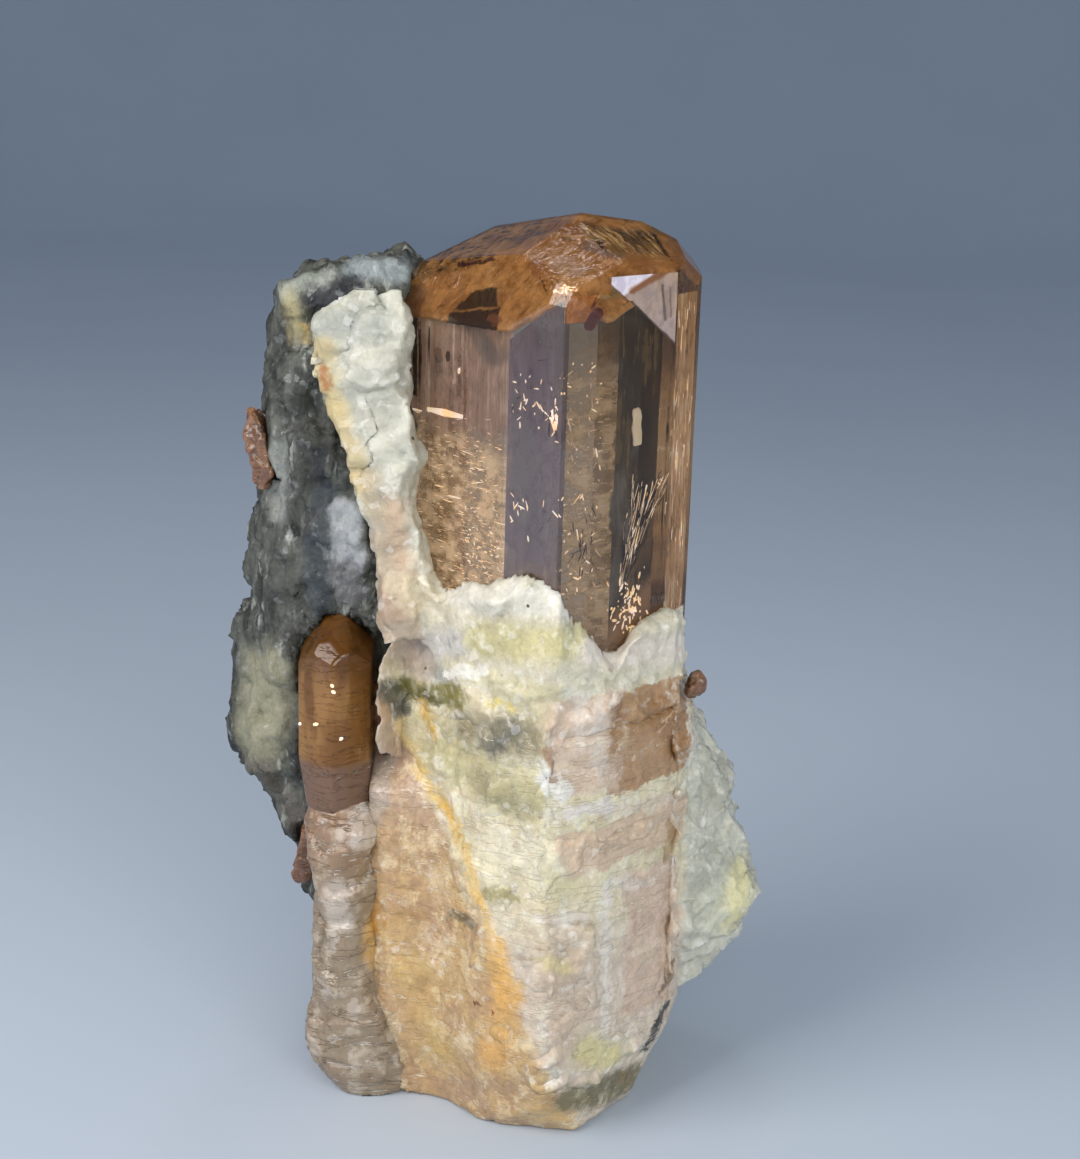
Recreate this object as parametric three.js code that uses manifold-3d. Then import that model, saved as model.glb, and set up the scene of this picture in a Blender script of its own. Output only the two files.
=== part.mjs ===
// Topaz crystal on its matrix: a stout clear-to-frosted prism with a smaller crystal beside it, grey schist
// along its left and white quartz over its lower half. Millimetres, +Z up, front towards -Y.

import * as THREE from 'three';
import { mergeVertices } from 'three/addons/utils/BufferGeometryUtils.js';
import { ImprovedNoise } from 'three/addons/math/ImprovedNoise.js';
import Module from 'manifold-3d';

const wasm = await Module();
wasm.setup();

// ---------------------------------------------------------------- driving dimensions

const TOTAL_HEIGHT = 40;

// Neighbouring pieces stay this far apart; cutting blocks reach this far out.
const GAP = 0.3;
const FAR = 60;

// Topaz is orthorhombic. Its prism faces stand at these angles, in degrees, from the a axis, which
// points at the viewer here. An axis ratio of 0.528 : 1 gives them.
const AXIS_RATIO = 0.528;
const faceAngle = (k) => THREE.MathUtils.radToDeg(Math.atan(k * AXIS_RATIO));
const FACE_110 = faceAngle(1);
const FACE_120 = faceAngle(2);
const FACE_130 = faceAngle(3);
const FACE_010 = 90;

// Prism faces of the main crystal: [angle from the front, distance from the crystal's axis].
const MAIN_FACES = [
  [-FACE_010, 6.8],
  [-FACE_120, 4.75],
  [-FACE_110, 5.35],
  [FACE_110, 5.97],
  [FACE_120, 5.56],
  [FACE_130, 5.83],
  [FACE_010, 6.4],
  [180 - FACE_130, 5.5],
  [180 - FACE_110, 5.9],
  [FACE_110 - 180, 5.6],
  [FACE_120 - 180, 5.2],
];

// Top faces of the main crystal: [angle from the front, slope from level, a point on the face].
const MAIN_TOP_FACES = [
  [-FACE_120, 61, [-3.15, -3.58, 35.8]],
  [-5, 24, [0.62, -6.23, 37.4]],
  [38, 71, [2.54, -5.41, 36.3]],
  [-62, 22, [-5.76, 0.73, 37.7]],
  [37, 21, [3.01, -4.15, 38.4]],
  [84, 52, [5.6, -1.5, 38.5]],
  [-84, 66, [-6.7, 1.0, 36.2]],
  [FACE_120 - 180, 57, [-3.4, 4.3, 35.9]],
  [152, 60, [2.6, 5.9, 35.4]],
  [178, 20, [0.4, 0.6, TOTAL_HEIGHT - 0.25]],
  [120, 38, [5.2, 2.6, 38.0]],
];

// Breaks that round off the foot of the main crystal.
const MAIN_FOOT_FACES = [
  [-72, 128, [-6.2, -1.1, 0.9]],
  [-8, 128, [0.2, -6.3, 1.5]],
  [52, 122, [4.9, -3.4, 1.3]],
  [140, 124, [4.2, 4.9, 1.2]],
];

const MAIN_GROOVES = { spacing: 0.62, depth: 0.1, width: 0.2, plain: [FACE_110, -FACE_110] };

const SIDE_AT = [-8.75, -1.3];
const SIDE_FACES = [
  [-FACE_010, 1.72],
  [-FACE_120, 1.75],
  [-FACE_110, 1.85],
  [FACE_110, 1.8],
  [FACE_120, 1.62],
  [FACE_010, 1.5],
  [180 - FACE_120, 2.0],
  [180 - FACE_110, 2.3],
  [FACE_110 - 180, 2.35],
  [FACE_120 - 180, 2.0],
];
const SIDE_ROOT_TOP = 11.5;
const SIDE_ROOT_FACES = [
  [-88, 90, [-9.45, -1.3, 6.0]],
  [-40, 90, [-9.3, -2.6, 6.0]],
];
const SIDE_TOP_FACES = [
  [-14, 52, [-8.9, -2.9, 21.3]],
  [-78, 56, [-10.3, -1.6, 20.8]],
  [76, 56, [-7.4, -1.3, 20.9]],
  [-40, 30, [-9.5, -1.8, 21.9]],
  [40, 34, [-8.2, -2.0, 21.8]],
  [160, 46, [-8.6, 0.2, 21.3]],
];
const SIDE_STEP_FACES = [
  [-88, 101, [-10.4, -1.3, 15.6]],
];
const SIDE_FOOT_FACES = [
  [-70, 132, [-9.3, -1.6, 1.3]],
  [-20, 124, [-8.4, -2.9, 1.0]],
];
const SIDE_GROOVES = { spacing: 0.5, depth: 0.06, width: 0.14, plain: [] };

// Rock bodies, as level sections: [height, left, right, front, back].
const SCHIST_SECTIONS = [
  [6.4, -9.8, -5.2, 1.2, 5.4],
  [9.0, -10.6, -4.6, 0.4, 6.4],
  [11.4, -11.6, -4.2, 0.1, 6.9],
  [13.6, -13.0, -4.0, -0.2, 7.0],
  [15.2, -14.2, -4.0, -0.5, 6.8],
  [17.0, -14.4, -4.2, -0.7, 6.6],
  [19.0, -13.8, -4.2, -0.8, 6.6],
  [20.4, -14.2, -4.3, -0.9, 6.4],
  [22.0, -13.5, -4.6, -1.2, 6.2],
  [24.6, -13.2, -4.6, -1.5, 6.0],
  [27.6, -12.4, -4.7, -1.5, 5.8],
  [30.4, -12.45, -4.8, -1.4, 5.4],
  [33.4, -11.9, -5.0, -1.2, 5.0],
  [35.8, -11.8, -5.0, -1.0, 4.4],
  [37.4, -11.7, -5.2, -0.9, 3.8],
];
const SCHIST_SURFACE = { rings: 30, sides: 28, rough: 0.62, scale: 2.3, seed: 3.4 };
const SCHIST_BREAKS = [
  [-50, 88, [-11.2, -1.0, 28.0]],
  [-122, 84, [-12.1, 4.2, 24.0]],
  [-168, 92, [-7.5, 6.0, 22.0]],
  [-100, 70, [-11.7, 1.0, 36.0]],
  [-20, 66, [-9.5, -1.5, 34.8]],
  [-60, 118, [-11.8, -0.4, 12.6]],
];

const QUARTZ_SECTIONS = [
  [-0.6, -4.6, 6.9, -1.4, 6.6],
  [1.9, -5.2, 7.4, -1.8, 7.2],
  [3.6, -5.4, 8.6, -2.1, 7.6],
  [6.2, -5.5, 10.1, -2.3, 7.9],
  [8.9, -5.4, 11.2, -2.4, 8.2],
  [10.9, -5.2, 10.4, -2.4, 8.2],
  [13.1, -4.6, 9.7, -2.3, 8.1],
  [15.1, -4.0, 9.1, -2.2, 7.9],
  [16.5, -3.2, 8.1, -2.0, 7.8],
  [18.0, -2.4, 7.4, -1.9, 7.6],
  [19.9, -1.4, 7.1, -1.7, 7.3],
  [22.4, 0.2, 6.9, -1.2, 6.9],
];
const QUARTZ_SURFACE = { rings: 26, sides: 34, rough: 0.6, scale: 2.0, seed: 8.2 };
const QUARTZ_BREAKS = [
  [36, 78, [8.4, -2.2, 8.0]],
  [96, 50, [8.3, 2.0, 17.0]],
  [100, 122, [9.8, 2.0, 5.4]],
  [172, 82, [2.0, 7.9, 12.0]],
  [135, 74, [7.6, 6.2, 12.0]],
  [-160, 66, [-2.4, 6.9, 16.0]],
];

const BAND_SECTIONS = [
  [21.6, -7.4, -4.0, -4.0, -1.2],
  [24.2, -7.4, -4.9, -3.4, -0.8],
  [26.6, -7.6, -5.5, -2.9, -0.4],
  [28.2, -7.7, -6.0, -2.7, -0.2],
  [29.4, -8.1, -5.5, -2.7, 0.2],
  [31.0, -8.7, -5.9, -2.6, 0.2],
  [32.8, -9.3, -6.2, -2.5, 0.3],
  [34.6, -9.5, -6.1, -2.4, 0.3],
  [36.4, -8.8, -6.0, -1.9, 0.3],
];
const BAND_SURFACE = { rings: 22, sides: 14, rough: 0.42, scale: 1.3, seed: 12.9 };

// The quartz crust on the front, seen square on: [across, height]. The windows are bare crystal.
const CRUST_OUTLINE = [
  [-7.0, 26.4], [-5.9, 26.0], [-5.2, 24.9], [-4.4, 24.0], [-3.2, 24.5], [-1.9, 24.9], [-0.7, 24.0],
  [0.6, 23.2], [1.5, 22.3], [2.8, 21.8], [4.6, 22.3], [6.3, 22.7], [7.0, 19.6], [8.6, 17.0], [8.6, 6.4],
  [6.4, 3.6], [3.4, 2.4], [0.4, 2.6], [-1.8, 4.8], [-3.0, 9.0], [-4.2, 14.0], [-7.2, 17.0],
];
const CRUST_WINDOWS = [
  [[2.4, 15.8], [3.2, 14.3], [6.5, 14.6], [6.2, 19.2], [3.0, 18.9], [1.1, 18.4], [0.9, 15.9]],
  [[1.6, 10.9], [3.2, 10.2], [3.4, 4.6], [6.6, 4.8], [6.6, 13.2], [3.4, 13.4], [1.2, 12.7]],
];
const CRUST_THICKNESS = 0.75;
const CRUST_REACH = 28;
const CRUST_SURFACE = { rings: 34, sides: 84, rough: 0.38, scale: 1.5, seed: 5.7 };

// Small topaz blades caught in the rock: [centre], [half sizes], lean in degrees about the front axis.
const LEFT_BLADE = { at: [-12.4, 0.4, 29.5], half: [0.42, 0.9, 1.75], lean: -12 };
const LOWER_LEFT_BLADE = { at: [-10.3, 0.7, 10.7], half: [0.45, 0.8, 1.7], lean: 14 };
const RIGHT_CHIP = { at: [7.0, -1.3, 19.9], half: [0.32, 0.5, 0.6], lean: 8 };

// ---------------------------------------------------------------- solids and cuts

function toSolid(geometry) {
  const bare = geometry.clone();
  bare.deleteAttribute('normal');
  bare.deleteAttribute('uv');
  const merged = mergeVertices(bare, 1e-4);
  const vertProperties = new Float32Array(merged.attributes.position.array);
  const triVerts = new Uint32Array(merged.index.array);
  return new wasm.Manifold(new wasm.Mesh({ numProp: 3, vertProperties, triVerts }));
}

function toGeometry(solid) {
  const mesh = solid.getMesh();
  const geometry = new THREE.BufferGeometry();
  geometry.setAttribute('position', new THREE.BufferAttribute(new Float32Array(mesh.vertProperties), 3));
  geometry.setIndex(new THREE.BufferAttribute(new Uint32Array(mesh.triVerts), 1));
  return geometry;
}

// Keeps the body with the most triangles and drops the crumbs that a cut leaves beside it.
function largestBody(geometry) {
  const index = geometry.index.array;
  const parent = Uint32Array.from({ length: geometry.attributes.position.count }, (unused, i) => i);
  const root = (i) => {
    while (parent[i] !== i) {
      parent[i] = parent[parent[i]];
      i = parent[i];
    }
    return i;
  };
  for (let t = 0; t < index.length; t += 3) {
    parent[root(index[t])] = root(index[t + 1]);
    parent[root(index[t + 1])] = root(index[t + 2]);
  }
  const counts = new Map();
  for (let t = 0; t < index.length; t += 3) {
    const body = root(index[t]);
    counts.set(body, (counts.get(body) ?? 0) + 1);
  }
  const largest = [...counts.entries()].sort((a, b) => b[1] - a[1])[0][0];
  const kept = [];
  for (let t = 0; t < index.length; t += 3) {
    if (root(index[t]) === largest) {
      kept.push(index[t], index[t + 1], index[t + 2]);
    }
  }
  const body = geometry.clone();
  body.setIndex(kept);
  return mergeVertices(body, 1e-3);
}

const radians = THREE.MathUtils.degToRad;

// The outward direction of a face: angle from the front, slope from level.
function faceNormal(angle, slope) {
  const turn = radians(angle);
  const tip = radians(slope);
  return new THREE.Vector3(Math.sin(turn) * Math.sin(tip), -Math.cos(turn) * Math.sin(tip), Math.cos(tip));
}

// A block that fills everything outside the face, to cut away what stands out of it.
function outsideOf(normal, point) {
  const block = new THREE.BoxGeometry(2 * FAR, 2 * FAR, FAR);
  block.translate(0, 0, FAR / 2);
  block.applyQuaternion(new THREE.Quaternion().setFromUnitVectors(new THREE.Vector3(0, 0, 1), normal));
  block.translate(point.x, point.y, point.z);
  return toSolid(block);
}

function cutFaces(solid, faces, grow = 0) {
  for (const [angle, slope, at] of faces) {
    const normal = faceNormal(angle, slope);
    const point = new THREE.Vector3(...at).addScaledVector(normal, grow);
    solid = solid.subtract(outsideOf(normal, point));
  }
  return solid;
}

// The specimen stands on a flat break at height 0.
function cutFloor(solid) {
  return solid.subtract(outsideOf(new THREE.Vector3(0, 0, -1), new THREE.Vector3()));
}

// ---------------------------------------------------------------- crystals

// The corners where neighbouring prism faces meet, seen from above.
function prismCorners(faces, grow) {
  return faces.map(([angle, distance], i) => {
    const [nextAngle, nextDistance] = faces[(i + 1) % faces.length];
    const a = radians(angle);
    const b = radians(nextAngle);
    const reach = distance + grow;
    const nextReach = nextDistance + grow;
    const turn = Math.sin(b - a);
    const x = (nextReach * Math.cos(a) - reach * Math.cos(b)) / turn;
    const y = (nextReach * Math.sin(a) - reach * Math.sin(b)) / turn;
    return new THREE.Vector2(x, y);
  });
}

// The outline with narrow upright grooves along each face that isn't plain.
function groovedOutline(faces, grow, grooves) {
  const corners = prismCorners(faces, grow);
  const points = [];
  corners.forEach((corner, i) => {
    points.push(corner);
    const next = corners[(i + 1) % corners.length];
    const angle = faces[(i + 1) % faces.length][0];
    if (!grooves || grooves.plain.includes(angle)) {
      return;
    }
    const along = next.clone().sub(corner);
    const length = along.length();
    along.normalize();
    const inward = new THREE.Vector2(-Math.sin(radians(angle)), Math.cos(radians(angle)));
    let run = grooves.spacing * 0.7;
    let seed = i * 17 + 5;
    while (run < length - grooves.spacing * 0.6) {
      const depth = grooves.depth * (0.4 + 0.6 * THREE.MathUtils.seededRandom(seed));
      const side = grooves.width / 2;
      points.push(corner.clone().addScaledVector(along, run - side));
      points.push(corner.clone().addScaledVector(along, run).addScaledVector(inward, depth));
      points.push(corner.clone().addScaledVector(along, run + side));
      run += grooves.spacing * (0.7 + 0.8 * THREE.MathUtils.seededRandom(seed + 1));
      seed += 2;
    }
  });
  return points;
}

function prism(faces, height, grow = 0, grooves = null, at = [0, 0]) {
  const shape = new THREE.Shape(groovedOutline(faces, grow, grooves));
  const column = new THREE.ExtrudeGeometry(shape, { depth: height, bevelEnabled: false });
  column.translate(at[0], at[1], 0);
  return toSolid(column);
}

function mainCrystal(grow = 0, grooves = null) {
  const column = prism(MAIN_FACES, TOTAL_HEIGHT + 2, grow, grooves);
  const topped = cutFaces(column, MAIN_TOP_FACES, grow);
  return cutFaces(topped, MAIN_FOOT_FACES, grow);
}

function sideCrystal(grow = 0, grooves = null) {
  const column = prism(SIDE_FACES, TOTAL_HEIGHT, grow, grooves, SIDE_AT);
  const topped = cutFaces(cutFaces(column, SIDE_TOP_FACES, grow), SIDE_STEP_FACES, grow);
  const rootColumn = prism(SIDE_FACES, SIDE_ROOT_TOP + grow, grow, grooves, SIDE_AT);
  const root = cutFaces(rootColumn, SIDE_ROOT_FACES, grow);
  return cutFaces(topped.add(root), SIDE_FOOT_FACES, grow);
}

// A flat lozenge of topaz with chisel ends.
function blade({ at, half, lean }, grow = 0) {
  const [x, y, z] = half.map((size) => size + grow);
  const outline = new THREE.Shape([
    new THREE.Vector2(-x, -z * 0.75),
    new THREE.Vector2(-x * 0.2, -z),
    new THREE.Vector2(x, -z * 0.7),
    new THREE.Vector2(x, z * 0.6),
    new THREE.Vector2(x * 0.1, z),
    new THREE.Vector2(-x, z * 0.55),
  ]);
  const plate = new THREE.ExtrudeGeometry(outline, { depth: 2 * y, bevelEnabled: false });
  plate.translate(0, 0, -y);
  plate.rotateX(Math.PI / 2);
  plate.rotateY(radians(lean));
  plate.translate(...at);
  return toSolid(plate);
}

// ---------------------------------------------------------------- rock

const noise = new ImprovedNoise();

// Uneven rock surface: two sizes of bumps, from -1 to 1.
function bumps(point, scale, seed) {
  const coarse = noise.noise(point.x / scale + seed, point.y / scale, point.z / scale);
  const fine = noise.noise(point.x / scale * 2.3, point.y / scale * 2.3 + seed, point.z / scale * 2.3);
  return coarse + 0.45 * fine;
}

// A round column of unit radius and height, centred, with its rings and sides open to reshaping.
function unitColumn({ sides, rings }) {
  const column = new THREE.CylinderGeometry(1, 1, 1, sides, rings, false);
  column.rotateX(Math.PI / 2);
  column.deleteAttribute('normal');
  column.deleteAttribute('uv');
  return mergeVertices(column, 1e-4);
}

// Blocky rather than oval plan: the power that a unit circle's coordinates are raised to.
const BLOCKINESS = 0.8;
const blocky = (value) => Math.sign(value) * Math.abs(value) ** BLOCKINESS;

// The rock narrows to this share of its width at its two ends, over a short rounded shoulder.
const END_SHARE = 0.62;
const SHOULDER_STEEPNESS = 2.8;

// A rock body skinned over level sections, with an uneven surface.
function sectionRock(sections, surface, grow = 0) {
  const heights = sections.map((section) => section[0]);
  const bottom = heights[0];
  const top = heights[heights.length - 1];
  const sectionAt = (height) => {
    const upper = Math.max(1, heights.findIndex((value) => value >= height - 1e-6));
    const share = (height - heights[upper - 1]) / (heights[upper] - heights[upper - 1]);
    return sections[upper].map((value, k) => THREE.MathUtils.lerp(sections[upper - 1][k], value, share));
  };
  const geometry = unitColumn(surface);
  const position = geometry.attributes.position;
  const unit = new THREE.Vector3();
  const point = new THREE.Vector3();
  for (let i = 0; i < position.count; i += 1) {
    unit.fromBufferAttribute(position, i);
    const height = THREE.MathUtils.lerp(bottom, top, THREE.MathUtils.clamp(unit.z + 0.5, 0, 1));
    const [, left, right, front, back] = sectionAt(height);
    const fromEnd = Math.max(0, 0.5 - Math.abs(unit.z));
    const shoulder = Math.min(1, END_SHARE + SHOULDER_STEEPNESS * Math.sqrt(fromEnd));
    const across = blocky(unit.x) * shoulder;
    const deep = blocky(unit.y) * shoulder;
    point.set(
      (left + right) / 2 + across * (right - left) / 2,
      (front + back) / 2 + deep * (back - front) / 2,
      height,
    );
    const push = surface.rough * bumps(point, surface.scale, surface.seed) + grow;
    point.x += across * push;
    point.y += deep * push;
    if (fromEnd < 0.01) {
      point.z += Math.sign(unit.z) * push;
    }
    position.setXYZ(i, point.x, point.y, point.z);
  }
  return toSolid(geometry);
}

function schistRock(grow = 0) {
  return cutFaces(sectionRock(SCHIST_SECTIONS, SCHIST_SURFACE, grow), SCHIST_BREAKS, grow);
}

function join(solids) {
  return solids.reduce((sum, solid) => sum.add(solid));
}

// How far the main crystal's outline lies from its axis, in the direction of (x, y).
function outlineReach(x, y) {
  const reaches = MAIN_FACES.map(([angle, distance]) => {
    const toward = x * Math.sin(radians(angle)) - y * Math.cos(radians(angle));
    return toward > 0.05 ? distance / toward : Infinity;
  });
  return Math.min(...reaches);
}

// The crust on the front: an uneven coat over the crystal's faces, cut to its outline and its windows.
function frontCrust() {
  const { rough, scale, seed } = CRUST_SURFACE;
  const coat = unitColumn(CRUST_SURFACE);
  const position = coat.attributes.position;
  const point = new THREE.Vector3();
  for (let i = 0; i < position.count; i += 1) {
    point.fromBufferAttribute(position, i);
    const height = (point.z + 0.5) * CRUST_REACH;
    const onAxis = Math.hypot(point.x, point.y) < 0.5;
    const wall = onAxis ? 0 : outlineReach(point.x, point.y);
    point.set(point.x * wall, point.y * wall, height);
    const coatThickness = GAP + CRUST_THICKNESS + rough * bumps(point, scale, seed);
    const stretch = onAxis ? 0 : 1 + coatThickness / wall;
    position.setXYZ(i, point.x * stretch, point.y * stretch, height);
  }
  const corners = (points) => points.map(([x, z]) => new THREE.Vector2(x, z));
  const shape = new THREE.Shape(corners(CRUST_OUTLINE));
  shape.holes = CRUST_WINDOWS.map((points) => new THREE.Path(corners(points)));
  const cutter = new THREE.ExtrudeGeometry(shape, { depth: FAR, bevelEnabled: false });
  cutter.rotateX(Math.PI / 2);
  return toSolid(coat).intersect(toSolid(cutter));
}

function quartzRock() {
  const body = cutFaces(sectionRock(QUARTZ_SECTIONS, QUARTZ_SURFACE), QUARTZ_BREAKS);
  const band = sectionRock(BAND_SECTIONS, BAND_SURFACE);
  return join([body, frontCrust(), band]);
}

// ---------------------------------------------------------------- the specimen

const grownMain = mainCrystal(GAP);
const grownSide = sideCrystal(GAP);
const blades = [LEFT_BLADE, LOWER_LEFT_BLADE, RIGHT_CHIP];
const grownBlades = join(blades.map((size) => blade(size, GAP)));
const grownCrystals = join([grownMain, grownSide, grownBlades]);

const schist = cutFloor(schistRock().subtract(grownCrystals));

const quartz = cutFloor(quartzRock().subtract(grownCrystals).subtract(schistRock(GAP)));

function piece(name, solid, color, roughness) {
  const material = new THREE.MeshStandardMaterial({ color, roughness, metalness: 0 });
  const mesh = new THREE.Mesh(largestBody(toGeometry(solid)), material);
  mesh.name = name;
  return mesh;
}

const TOPAZ_PEACH = 0xd9a978;
const TOPAZ_ORANGE = 0xc98a4e;
const TOPAZ_RED_BROWN = 0x9a5a3a;
const SCHIST_GREY = 0x6f7779;
const QUARTZ_WHITE = 0xdcd9cc;

const pieces = [
  piece('main_topaz_crystal', cutFloor(mainCrystal(0, MAIN_GROOVES)), TOPAZ_PEACH, 0.12),
  piece('side_topaz_crystal', cutFloor(sideCrystal(0, SIDE_GROOVES)), TOPAZ_ORANGE, 0.25),
  piece('left_topaz_blade', blade(LEFT_BLADE), TOPAZ_RED_BROWN, 0.3),
  piece('lower_left_topaz_blade', blade(LOWER_LEFT_BLADE).subtract(grownSide), TOPAZ_RED_BROWN, 0.3),
  piece('right_topaz_chip', blade(RIGHT_CHIP), TOPAZ_PEACH, 0.3),
  piece('grey_schist', schist, SCHIST_GREY, 0.8),
  piece('white_quartz', quartz, QUARTZ_WHITE, 0.6),
];

// The specimen's box is centred over the origin.
const box = new THREE.Box3();
pieces.forEach((mesh) => box.expandByObject(mesh));
const centre = box.getCenter(new THREE.Vector3());

const group = new THREE.Group();
for (const mesh of pieces) {
  mesh.position.set(-centre.x, -centre.y, 0);
  group.add(mesh);
}

export default group;
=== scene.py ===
import math
import random

import bmesh
import bpy
from mathutils import Matrix, Vector, noise


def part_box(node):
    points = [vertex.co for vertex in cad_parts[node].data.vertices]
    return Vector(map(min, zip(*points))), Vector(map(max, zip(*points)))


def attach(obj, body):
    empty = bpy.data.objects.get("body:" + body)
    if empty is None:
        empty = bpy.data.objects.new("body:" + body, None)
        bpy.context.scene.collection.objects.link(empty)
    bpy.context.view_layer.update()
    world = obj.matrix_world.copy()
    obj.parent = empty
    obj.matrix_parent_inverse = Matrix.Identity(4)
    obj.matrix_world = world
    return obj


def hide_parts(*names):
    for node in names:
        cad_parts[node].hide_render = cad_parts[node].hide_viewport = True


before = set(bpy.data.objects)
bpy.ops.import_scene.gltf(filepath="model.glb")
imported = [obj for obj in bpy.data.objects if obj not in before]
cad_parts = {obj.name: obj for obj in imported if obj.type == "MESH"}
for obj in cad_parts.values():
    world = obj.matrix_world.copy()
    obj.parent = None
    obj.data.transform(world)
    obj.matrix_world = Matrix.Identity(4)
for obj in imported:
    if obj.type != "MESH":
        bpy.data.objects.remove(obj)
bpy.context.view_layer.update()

MM = 0.001
UP = Vector((0, 0, 1))
BODY = "root"

# The relief comes out the same on every run.
noise.seed_set(7)

# The main crystal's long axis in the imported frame. Every place below is in millimetres from its foot.
MAIN_LOW, MAIN_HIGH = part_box("main_topaz_crystal")
AXIS = Vector((MAIN_LOW.x + 6.8 * MM, MAIN_LOW.y + 6.4 * MM, 0.0))


def at(x, y, z):
    """A place given in millimetres from the foot of the main crystal's axis."""
    return AXIS + Vector((x, y, z)) * MM


def local(point):
    """A point of the frame, in millimetres from the foot of the main crystal's axis."""
    return (point - AXIS) / MM


def ease(value, low, high):
    """0 below low, 1 above high, and a smooth rise between them."""
    share = min(max((value - low) / (high - low), 0.0), 1.0)
    return share * share * (3 - 2 * share)


def lumps(place, size, octaves=3, seed=0):
    """Smooth random relief of about -1 to 1, with bumps of the given size in millimetres."""
    return noise.fractal(place / size + Vector((seed, 0, 0)), 1.0, 2.0, octaves)


def facets(place, size, seed=0):
    """Relief of broken grains of the given size, each a flat facet that tilts its own way."""
    spot = place / size + Vector((0, seed, 0))
    centre = noise.voronoi(spot)[1][0]
    tilt = noise.noise_vector(centre * 7.3) * 1.6
    return (spot - centre).dot(tilt) * 0.9


# A small extra face at a corner of the main crystal's clear end: its direction out, and a point on it.
CORNER_WAY = (-0.365, -0.803, 0.470)
CORNER_SPOT = (0.35, -6.1, 37.05)

# ------------------------------------------------------------------ camera, light and floor

CAMERA_AIM = (0.0, 0.0, 24.0)
CAMERA_DISTANCE = 84.0
CAMERA_ELEVATION = 15.0
CAMERA_ROLL = 1.8
LENS = 59.0
FLOOR_DROP = 0.05
FLOOR_FLAT = 420.0
FLOOR_RIM = 260.0
RIM_HEIGHT = 420.0
SKY_STRENGTH = 0.62
LIGHT_BOUNCES = 12      # enough for light to pass the clear crystal and the sheets inside it


def set_camera():
    camera = bpy.data.cameras.new("view_camera")
    camera.sensor_width = 36
    camera.lens = LENS
    camera.clip_start = 0.002
    camera.clip_end = 10
    holder = bpy.data.objects.new("view_camera", camera)
    bpy.context.scene.collection.objects.link(holder)
    tilt = math.radians(CAMERA_ELEVATION)
    back = Vector((0, -math.cos(tilt), math.sin(tilt)))
    turn = (-back).to_track_quat("-Z", "Y").to_matrix().to_4x4()
    roll = Matrix.Rotation(math.radians(CAMERA_ROLL), 4, "Z")
    holder.matrix_world = Matrix.Translation(at(*CAMERA_AIM) + back * CAMERA_DISTANCE * MM) @ turn @ roll
    bpy.context.scene.camera = holder


def soft_box(name, place, aim, width, height, power, colour=(1, 1, 1)):
    light = bpy.data.lights.new(name, "AREA")
    light.shape = "RECTANGLE"
    light.size = width * MM
    light.size_y = height * MM
    light.energy = power
    light.color = colour
    holder = bpy.data.objects.new(name, light)
    bpy.context.scene.collection.objects.link(holder)
    holder.location = at(*place)
    direction = at(*aim) - at(*place)
    holder.rotation_euler = direction.to_track_quat("-Z", "Y").to_euler()
    holder.visible_camera = False


def set_world():
    world = bpy.data.worlds.new("studio_air")
    world.use_nodes = True
    shade = world.node_tree.nodes["Background"]
    sky = Board(world.node_tree)
    rise = sky.part(sky.add("TexCoord", {}).outputs["Generated"], 2)
    mirrored = sky.add("LightPath", {}).outputs["Is Glossy Ray"]
    dim = sky.times(mirrored, sky.span(rise, 0.42, 0.50))
    colour = sky.mix(dim, (0.52, 0.60, 0.72, 1), (0.20, 0.15, 0.11, 1))
    sky.feed(shade.inputs["Color"], colour)
    shade.inputs["Strength"].default_value = SKY_STRENGTH
    scene = bpy.context.scene
    scene.world = world
    scene.view_settings.view_transform = "Standard"
    scene.cycles.max_bounces = LIGHT_BOUNCES
    scene.cycles.transmission_bounces = LIGHT_BOUNCES


# ------------------------------------------------------------------ pattern nodes

def tone(text):
    """A display colour such as d8cfc0, as the linear values that a shader takes."""
    parts = [int(text[i:i + 2], 16) / 255 for i in (0, 2, 4)]
    return tuple(((p + 0.055) / 1.055) ** 2.4 if p > 0.04045 else p / 12.92 for p in parts) + (1.0,)


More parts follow.
